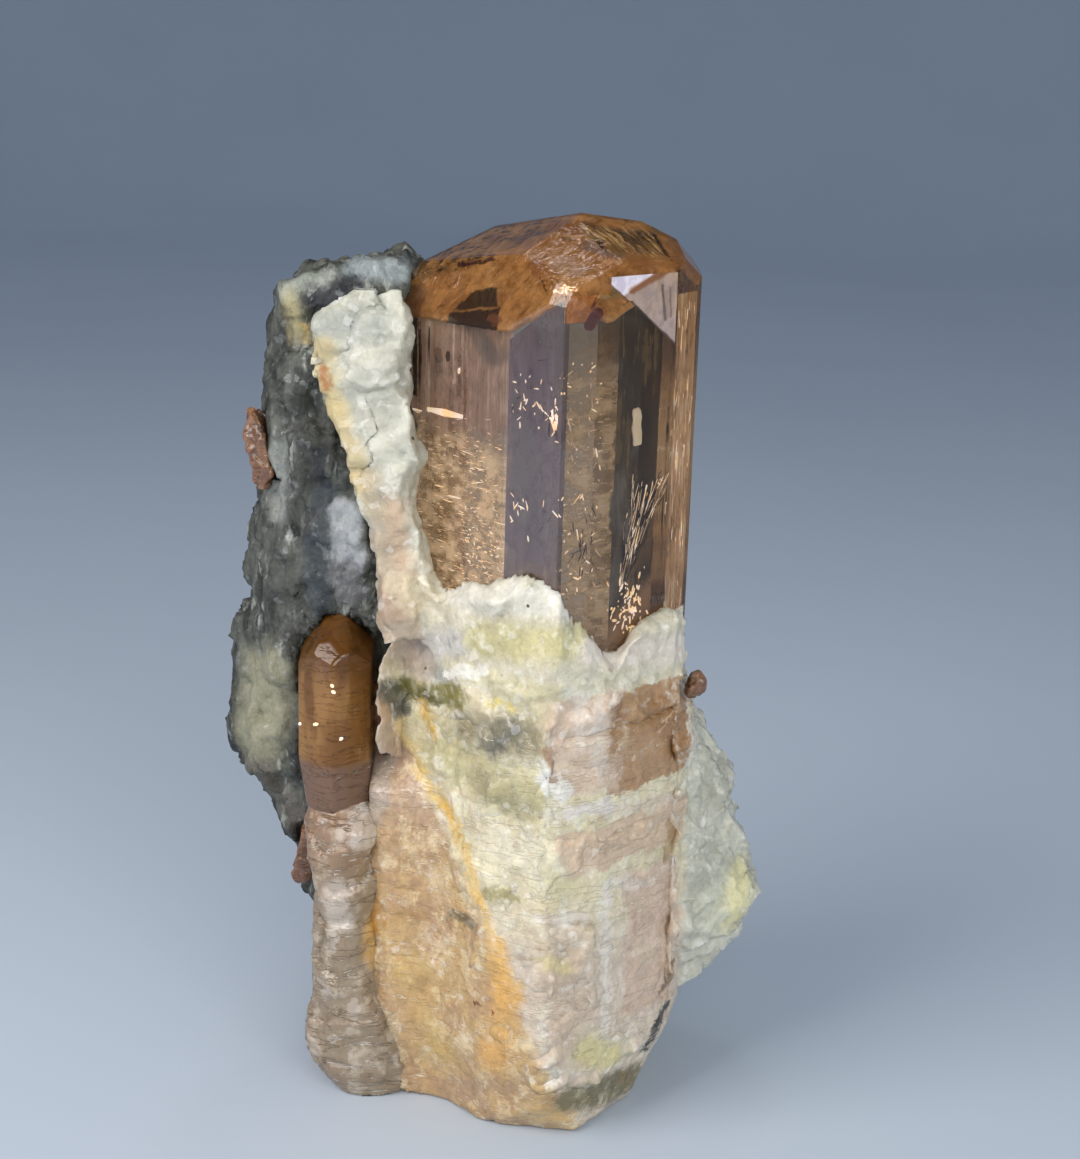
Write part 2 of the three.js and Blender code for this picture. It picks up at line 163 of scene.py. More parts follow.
class Board:
    """A shader node tree, with short ways to add the nodes that patterns are made of."""

    def __init__(self, tree):
        self.tree = tree

    def feed(self, socket, value):
        if isinstance(value, bpy.types.NodeSocket):
            self.tree.links.new(value, socket)
        else:
            socket.default_value = tone(value) if isinstance(value, str) else value

    def add(self, kind, inputs, **settings):
        node = self.tree.nodes.new("ShaderNode" + kind)
        for name, value in settings.items():
            setattr(node, name, value)
        for key, value in inputs.items():
            self.feed(node.inputs[key], value)
        return node

    def math(self, operation, a, b=0.0):
        return self.add("Math", {0: a, 1: b}, operation=operation).outputs[0]

    def plus(self, a, b):
        return self.math("ADD", a, b)

    def minus(self, a, b):
        return self.math("SUBTRACT", a, b)

    def times(self, a, b):
        return self.math("MULTIPLY", a, b)

    def least(self, a, b):
        return self.math("MINIMUM", a, b)

    def most(self, a, b):
        return self.math("MAXIMUM", a, b)

    def vector(self, operation, a, b=(0.0, 0.0, 0.0)):
        node = self.add("VectorMath", {0: a, 1: b}, operation=operation)
        return node.outputs["Value" if operation in ("DOT_PRODUCT", "DISTANCE", "LENGTH") else "Vector"]

    def stretched(self, place, factors):
        return self.vector("MULTIPLY", place, factors)

    def scaled(self, a, factor):
        return self.add("VectorMath", {0: a, "Scale": factor}, operation="SCALE").outputs["Vector"]

    def turned(self, place, angle, stretch):
        """The place turned about the vertical, then stretched along each axis."""
        turned = self.add("VectorRotate", {"Vector": place, "Angle": angle}, rotation_type="Z_AXIS")
        return self.stretched(turned.outputs[0], stretch)

    def part(self, place, axis):
        return self.add("SeparateXYZ", {0: place}).outputs[axis]

    def noise(self, place, scale, detail=3.0, rough=0.55, bend=0.0, colours=False):
        sockets = {"Vector": place, "Scale": scale, "Detail": detail, "Roughness": rough,
                   "Distortion": bend}
        return self.add("TexNoise", sockets).outputs[1 if colours else 0]

    def cells(self, place, scale):
        """How far each spot is from the middle of its cell."""
        return self.add("TexVoronoi", {"Vector": place, "Scale": scale}).outputs["Distance"]

    def span(self, value, low, high, to_low=0.0, to_high=1.0):
        """The value brought from low..high to to_low..to_high, with soft ends."""
        sockets = {"Value": value, "From Min": low, "From Max": high, "To Min": to_low, "To Max": to_high}
        return self.add("MapRange", sockets, interpolation_type="SMOOTHSTEP", clamp=False).outputs[0]

    def mix(self, share, a, b, blend="MIX"):
        sockets = {0: share, 6: a, 7: b}
        return self.add("Mix", sockets, data_type="RGBA", blend_type=blend, clamp_factor=True).outputs[2]

    def laid(self, base, over, value, low, high, most=1.0):
        """One colour laid over another, where the value goes from low to high."""
        return self.mix(self.span(value, low, high, 0.0, most), base, over)

    def use(self, group, inputs):
        """Places a node group and returns its outputs."""
        node = self.tree.nodes.new("ShaderNodeGroup")
        node.node_tree = group
        for key, value in inputs.items():
            self.feed(node.inputs[key], value)
        return node.outputs


class Finish(Board):
    """A material with its Principled shader. place holds the Object coordinates, in mm from the axis."""

    def __init__(self, name, **values):
        self.material = bpy.data.materials.new(name)
        self.material.use_nodes = True
        super().__init__(self.material.node_tree)
        self.shader = self.tree.nodes["Principled BSDF"]
        for label, value in values.items():
            self.set(label.replace("_", " "), value)
        coordinates = self.add("TexCoord", {}).outputs["Object"]
        self.place = self.scaled(self.vector("SUBTRACT", coordinates, AXIS), 1 / MM)

    def set(self, label, value):
        self.feed(self.shader.inputs[label], value)

    def glow(self, colour):
        """Gives the surface a colour, and a faint glow of the same colour: painted light, as the surface
        is no lamp.
        """
        self.set("Base Color", colour)
        self.set("Emission Color", colour)

    def relief(self, height, distance):
        """Fine relief, as high as the distance in millimetres."""
        bump = self.add("Bump", {"Height": height, "Distance": distance * MM})
        self.set("Normal", bump.outputs["Normal"])

    def pattern(self, group, scale, **others):
        """A pattern that covers the whole piece, at a scale per millimetre."""
        return self.use(group, {"Place": self.place, "Scale": scale, **others})

    def absorb(self, colour, density):
        volume = self.add("VolumeAbsorption", {"Color": colour, "Density": density})
        out = self.tree.nodes["Material Output"]
        self.tree.links.new(volume.outputs[0], out.inputs["Volume"])


def new_group(name, inputs, outputs):
    """An empty node group. inputs and outputs give each socket's name and kind."""
    tree = bpy.data.node_groups.new(name, "ShaderNodeTree")
    for label, kind in inputs.items():
        tree.interface.new_socket(label, in_out="INPUT", socket_type="NodeSocket" + kind)
    for label, kind in outputs.items():
        tree.interface.new_socket(label, in_out="OUTPUT", socket_type="NodeSocket" + kind)
    entry = tree.nodes.new("NodeGroupInput").outputs
    leave = tree.nodes.new("NodeGroupOutput").inputs
    return Board(tree), entry, leave


def stroke_group():
    """Mask of a round-ended stroke that runs from Start to End, Width wide each side, fading over Soft.

    It reaches further in depth than across, as the stroke follows a bumpy face. Strokes lay mineral stain
    colours, and in places painted shade, sheen and reflections."""
    sockets = {"Place": "Vector", "Start": "Vector", "End": "Vector", "Width": "Float", "Soft": "Float"}
    board, entry, leave = new_group("round_ended_stroke", sockets, {"Mask": "Float"})
    along = board.stretched(board.vector("SUBTRACT", entry["End"], entry["Start"]), (1.0, 0.4, 1.0))
    away = board.stretched(board.vector("SUBTRACT", entry["Place"], entry["Start"]), (1.0, 0.4, 1.0))
    square = board.most(board.vector("DOT_PRODUCT", along, along), 0.0001)
    share = board.math("DIVIDE", board.vector("DOT_PRODUCT", away, along), square)
    share = board.least(board.most(share, 0.0), 1.0)
    distance = board.vector("DISTANCE", away, board.scaled(along, share))
    inner = board.minus(entry["Width"], entry["Soft"])
    board.feed(leave["Mask"], board.span(distance, entry["Width"], inner))
    return board.tree


def panel_group():
    """Mask of a four-sided patch between two heights, whose left and right edges may lean."""
    sockets = {"Place": "Vector", "Low": "Vector", "High": "Vector", "Left Lean": "Float",
               "Right Lean": "Float", "Soft": "Float"}
    board, entry, leave = new_group("four_sided_patch", sockets, {"Mask": "Float"})
    above = board.vector("SUBTRACT", entry["Place"], entry["Low"])
    below = board.vector("SUBTRACT", entry["High"], entry["Place"])
    rise = board.part(above, 2)
    left = board.minus(board.part(above, 0), board.times(rise, entry["Left Lean"]))
    right = board.plus(board.part(below, 0), board.times(rise, entry["Right Lean"]))
    inside = board.least(board.least(left, right), board.least(rise, board.part(below, 2)))
    board.feed(leave["Mask"], board.span(inside, 0.0, entry["Soft"]))
    return board.tree


def sugar_group():
    """Broken sugary grain: each grain is a small tilted facet, and some glint."""
    sockets = {"Place": "Vector", "Scale": "Float"}
    board, entry, leave = new_group("sugary_grain", sockets, {"Height": "Float", "Glint": "Float"})
    shake = board.scaled(board.noise(entry["Place"], 1.2, 3.0, colours=True), 0.7)
    shaken = board.vector("ADD", entry["Place"], shake)
    grain = board.add("TexVoronoi", {"Vector": shaken, "Scale": entry["Scale"]})
    tilt = board.vector("SUBTRACT", grain.outputs["Color"], (0.5, 0.5, 0.5))
    reach = board.scaled(board.vector("SUBTRACT", shaken, grain.outputs["Position"]), entry["Scale"])
    facet = board.times(board.vector("DOT_PRODUCT", reach, tilt), 1.3)
    fine = board.noise(entry["Place"], board.times(entry["Scale"], 1.7), 4.0, 0.65)
    glint = board.span(board.part(grain.outputs["Color"], 0), 0.90, 0.95)
    board.feed(leave["Height"], board.plus(facet, board.times(fine, 0.5)))
    board.feed(leave["Glint"], glint)
    return board.tree


def cleavage_group():
    """Fine cracks across the long axis, as topaz splits: a mask of the cracks and their relief."""
    sockets = {"Place": "Vector", "Scale": "Float", "Thin": "Float"}
    board, entry, leave = new_group("cleavage_cracks", sockets, {"Mask": "Float", "Height": "Float"})
    flat = board.stretched(entry["Place"], (0.32, 0.32, 2.0))
    level = board.noise(flat, entry["Scale"], 3.0, 0.6)
    line = board.span(board.math("ABSOLUTE", board.minus(level, 0.52)), entry["Thin"], 0.0)
    patches = board.span(board.noise(entry["Place"], 0.9, 3.0), 0.46, 0.60)
    board.feed(leave["Mask"], board.times(line, patches))
    board.feed(leave["Height"], board.times(line, -1.0))
    return board.tree


def growth_group():
    """Relief of the fine lines that run up a prism face."""
    sockets = {"Place": "Vector", "Scale": "Float"}
    board, entry, leave = new_group("growth_lines", sockets, {"Height": "Float"})
    long = board.stretched(entry["Place"], (1.0, 1.0, 0.03))
    lines = board.noise(long, entry["Scale"], 2.0, 0.7)
    board.feed(leave["Height"], lines)
    return board.tree


STROKE = stroke_group()
PANEL = panel_group()
SUGAR = sugar_group()
CLEAVAGE = cleavage_group()
GROWTH = growth_group()


def stroke_mask(board, place, start, end, width, soft):
    values = {"Place": place, "Start": start, "End": end, "Width": width, "Soft": soft}
    return board.use(STROKE, values)["Mask"]


def stroked(board, base, ragged, strokes):
    """Lays strokes over a base colour: mineral stain colours, and in places painted shade and sheen. Each
    is start, end, width, soft edge, strength and tone.
    """
    for start, end, width, soft, strength, colour in strokes:
        mask = stroke_mask(board, ragged, start, end, width, soft)
        base = board.mix(board.times(mask, strength), base, colour)
    return base


def painted(board, base, flat, patches):
    """Lays round-ended patches over a base.

    Each has two places, across and up, then its width, soft edge, strength and tone."""
    raised = [((x0, 0.0, z0), (x1, 0.0, z1), *rest) for (x0, z0), (x1, z1), *rest in patches]
    return stroked(board, base, flat, raised)


def panel_mask(board, flat, low, high, left_lean, right_lean, soft):
    values = {"Place": flat, "Low": (low[0], 0.0, low[1]), "High": (high[0], 0.0, high[1]),
              "Left Lean": left_lean, "Right Lean": right_lean, "Soft": soft}
    return board.use(PANEL, values)["Mask"]


def panelled(board, base, flat, panels):
    """Lays four-sided patches over a base.

    Each has its low left and high right corner, the leans of its two sides, soft edge and tone."""
    for *shape, colour in panels:
        base = board.mix(panel_mask(board, flat, *shape), base, colour)
    return base


def front_group():
    """Colours of the skin on the front of the foot, by place across and height alone.

    Honey topaz lies left of a slanting yellow seam. Right of it lie white crust and brown topaz."""
    board, entry, leave = new_group("front_skin", {"Place": "Vector"}, {"Color": "Color"})
    flat = board.stretched(entry["Place"], (1.0, 0.0, 1.0))
    across, height = board.part(flat, 0), board.part(flat, 2)
    seam = board.plus(board.plus(across, board.times(height, 0.475)), -2.6)
    cloud = board.noise(entry["Place"], 0.5, 5.0, 0.68)
    veined = board.noise(board.stretched(entry["Place"], (1.0, 1.0, 0.6)), 1.1, 6.0, 0.72)
    honey = board.laid("b08f69", "c1a16e", cloud, 0.42, 0.58)
    honey = board.laid(honey, "b3977c", height, 12.0, 15.5)
    honey = board.laid(honey, "dcc79f", veined, 0.50, 0.62, 0.75)
    honey = board.laid(honey, "97734c", veined, 0.42, 0.32, 0.5)
    crust = board.laid("cfc29f", "dcd3b2", cloud, 0.42, 0.6)
    crust = board.laid(crust, "cdbda8", height, 12.0, 8.0)
    crust = board.laid(crust, "cdc6ae", height, 19.5, 21.5)
    crust = board.laid(crust, "e3dfce", veined, 0.52, 0.64, 0.8)
    crust = board.laid(crust, "b3a283", veined, 0.44, 0.34, 0.4)
    base = board.laid(honey, crust, seam, -0.4, 0.4)
    panels = [
        ((0.5, 16.2), (3.9, 20.9), -0.12, 0.0, 0.35, "cbb49c"),
        ((2.9, 15.9), (7.3, 20.55), 0.10, -0.16, 0.16, "ab8862"),
        ((1.4, 12.6), (6.9, 14.9), -0.3, 0.1, 0.3, "cdb498"),
        ((3.9, 4.6), (6.9, 12.3), 0.0, 0.0, 0.6, "cbb39d"),
    ]
    base = panelled(board, base, flat, panels)
    patches = [
        ((-6.9, 17.4), (-7.0, 13.8), 0.9, 0.5, 0.8, "a99c8e"),
        ((-7.3, 23.0), (-5.9, 23.4), 0.75, 0.4, 0.8, "a58a6e"),
        ((-6.9, 21.8), (-7.0, 19.4), 0.6, 0.4, 0.7, "a9937d"),
        ((-5.6, 21.3), (-3.6, 22.0), 1.0, 0.6, 0.7, "b9b7b3"),
        ((-5.4, 20.5), (-4.0, 20.7), 0.5, 0.35, 0.7, "7d8280"),
        ((-3.4, 24.4), (0.6, 25.0), 1.0, 0.7, 0.75, "dcd9ca"),
        ((-2.2, 22.7), (1.2, 23.2), 1.2, 0.8, 0.85, "c2b984"),
        ((-3.4, 21.2), (0.6, 21.0), 0.8, 0.6, 0.6, "c6bd92"),
        ((2.4, 22.7), (5.8, 21.8), 0.95, 0.6, 0.75, "d9cdbf"),
        ((-4.6, 17.4), (-0.4, 16.4), 1.7, 1.2, 0.75, "b3aa7a"),
        ((-2.0, 16.4), (-0.4, 15.8), 0.9, 0.6, 0.75, "9c9470"),
        ((-1.4, 20.6), (0.0, 20.2), 1.1, 0.9, 0.5, "beb68d"),
        ((-3.0, 18.6), (-0.3, 18.9), 1.3, 1.1, 0.8, "82795a"),
        ((-1.8, 18.2), (-0.8, 19.2), 0.75, 0.7, 0.8, "57574c"),
        ((-5.7, 19.3), (-3.5, 19.9), 0.75, 0.35, 0.9, "7a7230"),
        ((-5.0, 19.6), (-4.4, 19.3), 0.4, 0.3, 0.8, "544d1c"),
        ((-6.6, 19.6), (-6.0, 18.3), 0.65, 0.45, 0.85, "4b4f47"),
        ((-4.9, 18.9), (-4.4, 17.9), 0.42, 0.35, 0.85, "c9a044"),
        ((-5.6, 17.0), (-4.9, 16.0), 0.5, 0.45, 0.7, "d9c27a"),
        ((-3.8, 20.8), (-2.3, 21.4), 0.32, 0.2, 0.9, "e6e2d4"),
        ((-2.0, 20.1), (-1.0, 20.0), 0.35, 0.3, 0.7, "d8c56a"),
        ((1.8, 20.6), (1.9, 18.6), 0.5, 0.45, 0.75, "dcd0c2"),
        ((2.6, 20.3), (2.8, 17.4), 0.45, 0.3, 0.7, "d6c9ba"),
        ((0.6, 17.3), (1.1, 16.6), 0.6, 0.25, 0.9, "e3e0d4"),
        ((0.3, 18.6), (0.9, 17.2), 0.3, 0.2, 0.8, "98775b"),
        ((5.2, 19.4), (6.4, 17.2), 1.0, 0.9, 0.6, "93693f"),
        ((3.4, 19.9), (3.5, 19.6), 0.5, 0.4, 0.6, "835a3a"),
        ((3.4, 17.6), (3.2, 16.6), 0.5, 0.3, 0.6, "cdb8a4"),
        ((1.7, 15.75), (3.3, 15.55), 0.4, 0.25, 0.85, "ddd5ca"),
        ((3.6, 15.3), (6.4, 14.9), 0.5, 0.4, 0.6, "cfbcab"),
        ((6.1, 22.4), (6.7, 18.6), 0.14, 0.12, 0.75, "e9dfd0"),
        ((6.7, 18.6), (7.1, 14.8), 0.14, 0.12, 0.75, "e9dfd0"),
        ((5.2, 18.3), (6.1, 18.9), 0.10, 0.08, 0.7, "d9b78f"),
        ((6.1, 13.6), (6.2, 11.9), 0.38, 0.25, 0.8, "9a7c52"),
        ((3.6, 11.9), (5.2, 11.2), 0.35, 0.25, 0.7, "ded3c4"),
        ((-1.2, 13.8), (0.9, 13.3), 1.2, 0.8, 0.7, "dcd4b8"),
        ((0.8, 13.0), (1.6, 12.2), 0.6, 0.5, 0.6, "c9bf92"),
        ((1.7, 9.6), (1.9, 5.4), 1.7, 1.1, 0.65, "bfa88f"),
        ((0.8, 8.9), (1.6, 8.5), 0.6, 0.5, 0.7, "cbbc86"),
        ((3.3, 11.9), (3.5, 4.6), 0.32, 0.3, 0.8, "e2d9cb"),
        ((0.4, 11.0), (2.4, 10.7), 0.45, 0.35, 0.6, "e0d7ca"),
        ((6.6, 6.6), (6.4, 5.5), 0.35, 0.3, 0.8, "6b5434"),
        ((6.4, 4.6), (5.4, 2.8), 0.35, 0.25, 0.95, "2c2b27"),
        ((2.8, 4.2), (3.9, 3.5), 1.1, 0.9, 0.7, "c9bf7d"),
        ((2.1, 1.9), (4.7, 1.4), 1.15, 0.7, 0.9, "6b6442"),
        ((-6.0, 17.6), (-5.3, 16.0), 0.35, 0.3, 0.7, "dcc48a"),
        ((-5.3, 16.0), (-3.8, 14.8), 0.42, 0.4, 0.85, "e0bd72"),
        ((-3.8, 14.8), (-3.0, 13.4), 0.5, 0.45, 0.9, "e3b65c"),
        ((-3.0, 13.4), (-2.3, 11.2), 0.5, 0.45, 0.9, "e6c37c"),
        ((-2.3, 11.2), (-1.4, 9.2), 0.5, 0.5, 0.8, "dfb565"),
        ((-1.4, 9.2), (-0.8, 7.0), 0.9, 0.8, 0.85, "dfae58"),
        ((-0.9, 7.0), (-1.4, 3.8), 1.1, 1.0, 0.75, "d3a359"),
        ((-2.2, 13.0), (-1.4, 11.8), 0.6, 0.4, 0.7, "e6dcb8"),
        ((-1.8, 11.4), (-0.9, 11.7), 0.5, 0.4, 0.75, "948a52"),
        ((-3.4, 9.7), (-2.6, 9.7), 0.36, 0.35, 0.8, "5d563d"),
        ((-7.0, 9.6), (-6.8, 8.4), 0.45, 0.35, 0.8, "c78a2e"),
        ((-6.6, 9.0), (-4.6, 9.2), 0.5, 0.5, 0.5, "a98048"),
        ((-2.3, 6.35), (-2.2, 6.2), 0.15, 0.1, 0.95, "6f3f15"),
        ((-1.6, 6.0), (-1.55, 5.9), 0.12, 0.1, 0.95, "80481a"),
        ((-5.2, 6.4), (-4.0, 2.6), 1.5, 1.2, 0.45, "cfb06a"),
        ((-3.6, 0.8), (-2.2, 1.5), 0.8, 0.5, 0.6, "a5886b"),
    ]
    base = painted(board, base, flat, patches)
    grain = board.noise(entry["Place"], 2.4, 5.0, 0.65)
    base = board.mix(1.0, base, board.span(grain, 0.32, 0.66, 0.90, 1.12), "MULTIPLY")
    board.feed(leave["Color"], base)
    return board.tree


FRONT = front_group()


def ragged_place(board, amount, scale):
    """The place shaken by fine noise, so that what is drawn with it gets a ragged edge."""
    fine = board.noise(board.place, scale, 7.0, 0.72, colours=True)
    shake = board.vector("SUBTRACT", fine, (0.5, 0.5, 0.5))
    return board.vector("ADD", board.place, board.scaled(shake, amount))


# ------------------------------------------------------------------ finishes

TOPAZ_INDEX = 1.62
ETCH_TURN = math.radians(19)


def clear_topaz():
    """Clear peach topaz, orange at its etched end."""
    finish = Finish("clear_topaz", Roughness=0.015, IOR=TOPAZ_INDEX, Transmission_Weight=1.0)
    height = finish.part(finish.place, 2)
    cap = finish.span(height, 34.0, 36.6)
    patches = finish.noise(finish.place, 0.6, 4.0, 0.6)
    cap_tone = finish.laid("fbe8c8", "f3d8a8", patches, 0.42, 0.6)
    finish.set("Base Color", finish.mix(cap, "fdeee2", cap_tone))
    lines = finish.pattern(GROWTH, 3.2)["Height"]
    across = finish.part(finish.place, 0)
    lined = finish.plus(finish.span(across, -2.6, -4.4), finish.span(across, 4.2, 5.4))
    lined = finish.times(finish.plus(lined, 0.05), 0.7)
    waves = finish.noise(finish.place, 0.5, 2.0)
    furrows = finish.noise(finish.turned(finish.place, ETCH_TURN, (1.9, 0.28, 0.6)), 1.5, 3.0, 0.6)
    pits = finish.noise(finish.place, 2.6, 4.0, 0.65)
    etch = finish.plus(finish.times(furrows, 2.4), finish.times(pits, 0.7))
    etched = finish.times(etch, finish.span(height, 35.6, 37.2, 0.0, 0.6))
    relief = finish.plus(finish.times(lines, lined), finish.times(waves, 0.3))
    finish.relief(finish.plus(relief, etched), 0.06)
    finish.absorb((0.80, 0.60, 0.24, 1), 60.0)
    return finish.material


def frosted_topaz():
    """The cloudy foot of the main crystal."""
    finish = Finish("frosted_topaz", Roughness=0.38, IOR=TOPAZ_INDEX, Subsurface_Weight=0.35,
                    Subsurface_Scale=0.9 * MM, Subsurface_Radius=(1.0, 0.7, 0.4))
    ragged = ragged_place(finish, 1.9, 0.8)
    front = finish.use(FRONT, {"Place": ragged})["Color"]
    base = finish.mix(finish.span(finish.part(ragged, 1), -1.2, 0.6), front, "a88660")
    cloud = finish.noise(finish.place, 0.7, 5.0, 0.65)
    base = finish.laid(base, "e8d9bd", cloud, 0.52, 0.72, 0.4)
    base = finish.laid(base, "8d6a44", cloud, 0.44, 0.28, 0.4)
    inside = finish.span(finish.part(finish.place, 2), 19.6, 21.2)
    base = finish.mix(inside, base, finish.laid("d9ae7c", "f6e2c6", cloud, 0.36, 0.62))
    cracks = finish.pattern(CLEAVAGE, 0.9, Thin=0.016)
    base = finish.mix(finish.times(cracks["Mask"], 0.6), base, "efe0c4")
    sugar = finish.pattern(SUGAR, 3.4)
    # Painted glints: grains that glint are painted near white, as well as made glossier below.
    painted_glints = finish.times(sugar["Glint"], finish.span(cloud, 0.42, 0.6))
    base = finish.mix(finish.times(painted_glints, 0.3), base, "fff5e4")
    finish.set("Base Color", base)
    finish.set("Roughness", finish.span(sugar["Glint"], 0.0, 1.0, 0.27, 0.08))
    lines = finish.pattern(GROWTH, 2.2)["Height"]
    rough = finish.plus(finish.times(sugar["Height"], 0.55), finish.times(lines, 0.04))
    rough = finish.plus(rough, finish.times(cracks["Height"], 0.3))
    finish.relief(rough, 0.10)
    return finish.material


def orange_topaz():
    finish = Finish("orange_topaz", Roughness=0.12, IOR=TOPAZ_INDEX, Transmission_Weight=0.5,
                    Specular_IOR_Level=0.12)
    shade = finish.noise(finish.stretched(finish.place, (1.0, 1.0, 0.3)), 0.9, 3.0)
    height = finish.part(finish.place, 2)
    base = finish.laid("bd8a4c", "95642e", shade, 0.4, 0.6)
    base = finish.laid(base, "6a4118", height, 19.0, 21.4, 0.8)
    finish.set("Base Color", finish.laid(base, "92725c", height, 16.3, 15.8))
    lines = finish.pattern(GROWTH, 4.0)["Height"]
    cracks = finish.pattern(CLEAVAGE, 1.6, Thin=0.016)
    relief = finish.plus(finish.times(lines, 0.08), finish.times(cracks["Height"], 0.6))
    finish.relief(relief, 0.05)
    finish.absorb((0.95, 0.62, 0.2, 1), 40.0)
    return finish.material


def frosted_side_topaz():
    """The cracked, pinkish foot of the small crystal."""
    finish = Finish("frosted_side_topaz", Roughness=0.34, IOR=TOPAZ_INDEX, Subsurface_Weight=0.35,
                    Subsurface_Scale=0.8 * MM, Subsurface_Radius=(1.0, 0.75, 0.6))
    ragged = ragged_place(finish, 1.2, 1.1)
    height = finish.part(ragged, 2)
    base = finish.laid("92816a", "917357", height, 9.0, 14.0)
    cloud = finish.noise(finish.place, 0.8, 4.0, 0.65)
    base = finish.laid(base, "cdc0ac", cloud, 0.48, 0.66, 0.6)
    base = finish.laid(base, "86694f", cloud, 0.46, 0.32, 0.5)
    base = stroked(finish, base, ragged, [
        ((-6.9, -2.6, 8.4), (-6.8, -2.4, 6.6), 0.8, 0.6, 0.7, "d0a150"),
        ((-7.5, -3.0, 14.8), (-7.6, -3.2, 12.8), 0.7, 0.5, 0.6, "cfc3b6"),
        ((-8.6, -3.4, 10.4), (-8.4, -3.4, 9.0), 0.8, 0.5, 0.5, "d2c9be"),
    ])
    cracks = finish.pattern(CLEAVAGE, 0.9, Thin=0.02)
    base = finish.mix(finish.times(cracks["Mask"], 0.6), base, "f0e8dd")
    sugar = finish.pattern(SUGAR, 2.4)
    # Painted glints: grains that glint are painted near white, as well as made glossier below.
    base = finish.mix(finish.times(sugar["Glint"], 0.18), base, "fbf5ec")
    finish.set("Base Color", base)
    finish.set("Roughness", finish.span(sugar["Glint"], 0.0, 1.0, 0.28, 0.08))
    rough = finish.plus(finish.times(sugar["Height"], 0.6), cracks["Height"])
    finish.relief(rough, 0.08)
    return finish.material


def red_brown_topaz():
    finish = Finish("red_brown_topaz", Roughness=0.14, IOR=TOPAZ_INDEX, Subsurface_Weight=0.5,
                    Subsurface_Scale=0.8 * MM, Subsurface_Radius=(1.0, 0.4, 0.2))
    cloud = finish.noise(finish.place, 1.2, 4.0, 0.6)
    base = finish.laid("6a4c39", "8a674d", cloud, 0.38, 0.66)
    cracks = finish.pattern(CLEAVAGE, 1.4, Thin=0.016)
    finish.set("Base Color", finish.mix(finish.times(cracks["Mask"], 0.5), base, "e0b48c"))
    lines = finish.pattern(GROWTH, 4.0)["Height"]
    finish.relief(finish.plus(lines, cracks["Height"]), 0.05)
    return finish.material


def grey_schist():
    finish = Finish("grey_schist", Roughness=0.62, IOR=1.55)
    leaf = finish.stretched(finish.place, (1.0, 1.0, 0.38))
    ragged = ragged_place(finish, 1.5, 0.8)
    bands = finish.noise(leaf, 0.95, 5.0, 0.65, 0.5)
    base = finish.laid("20221c", "5d6056", bands, 0.36, 0.68)
    pale = finish.noise(leaf, 1.6, 4.0, 0.6)
    base = finish.laid(base, "a3a89e", pale, 0.56, 0.70, 0.7)
    strokes = [
        ((-12.0, -0.4, 19.4), (-12.6, 0.4, 16.2), 1.9, 1.3, 0.8, "98957a"),
        ((-12.4, 0.0, 14.6), (-11.0, 0.0, 12.4), 1.3, 1.0, 0.6, "6a6458"),
        ((-11.5, -0.4, 29.6), (-11.4, -0.4, 26.8), 0.75, 0.6, 0.65, "979c94"),
        ((-11.3, -0.3, 36.3), (-9.2, -0.3, 37.0), 0.6, 0.45, 0.7, "a4aa9d"),
        ((-8.2, -0.1, 37.3), (-6.4, -0.1, 37.4), 0.8, 0.6, 0.65, "a5afae"),
        ((-11.0, -0.6, 36.0), (-10.6, -0.8, 34.6), 0.8, 0.8, 0.7, "b3a87c"),
        ((-10.4, -0.9, 34.9), (-10.3, -1.0, 34.4), 0.35, 0.3, 0.6, "c2a043"),
        ((-9.9, -0.8, 36.2), (-8.4, -0.8, 36.7), 0.75, 0.5, 0.92, "1f2327"),
        ((-10.4, -1.1, 32.6), (-9.9, -1.3, 28.5), 0.8, 0.7, 0.9, "2f312a"),
        ((-9.6, -1.4, 29.6), (-9.3, -1.4, 27.4), 0.5, 0.35, 0.9, "1f2327"),
        ((-9.3, -1.2, 27.8), (-9.8, -1.2, 22.6), 0.95, 0.6, 0.85, "343b3f"),
        ((-11.2, -0.6, 24.6), (-10.4, -1.0, 22.0), 1.0, 0.7, 0.7, "474840"),
        ((-8.5, -1.6, 27.0), (-8.3, -1.6, 25.3), 0.9, 0.5, 0.75, "a9adae"),
        ((-8.4, -1.6, 24.6), (-8.2, -1.7, 23.4), 0.9, 0.5, 0.6, "7d7c7d"),
    ]
    base = stroked(finish, base, ragged, strokes)
    sugar = finish.pattern(SUGAR, 3.6)
    # Painted glints: grains that glint are painted pale grey, as well as made glossier below.
    base = finish.mix(finish.times(sugar["Glint"], 0.11), base, "c9cdcc")
    finish.set("Base Color", base)
    finish.set("Roughness", finish.span(sugar["Glint"], 0.0, 1.0, 0.62, 0.18))
    foliation = finish.plus(finish.times(bands, 1.4), finish.times(sugar["Height"], 0.5))
    finish.relief(foliation, 0.14)
    return finish.material


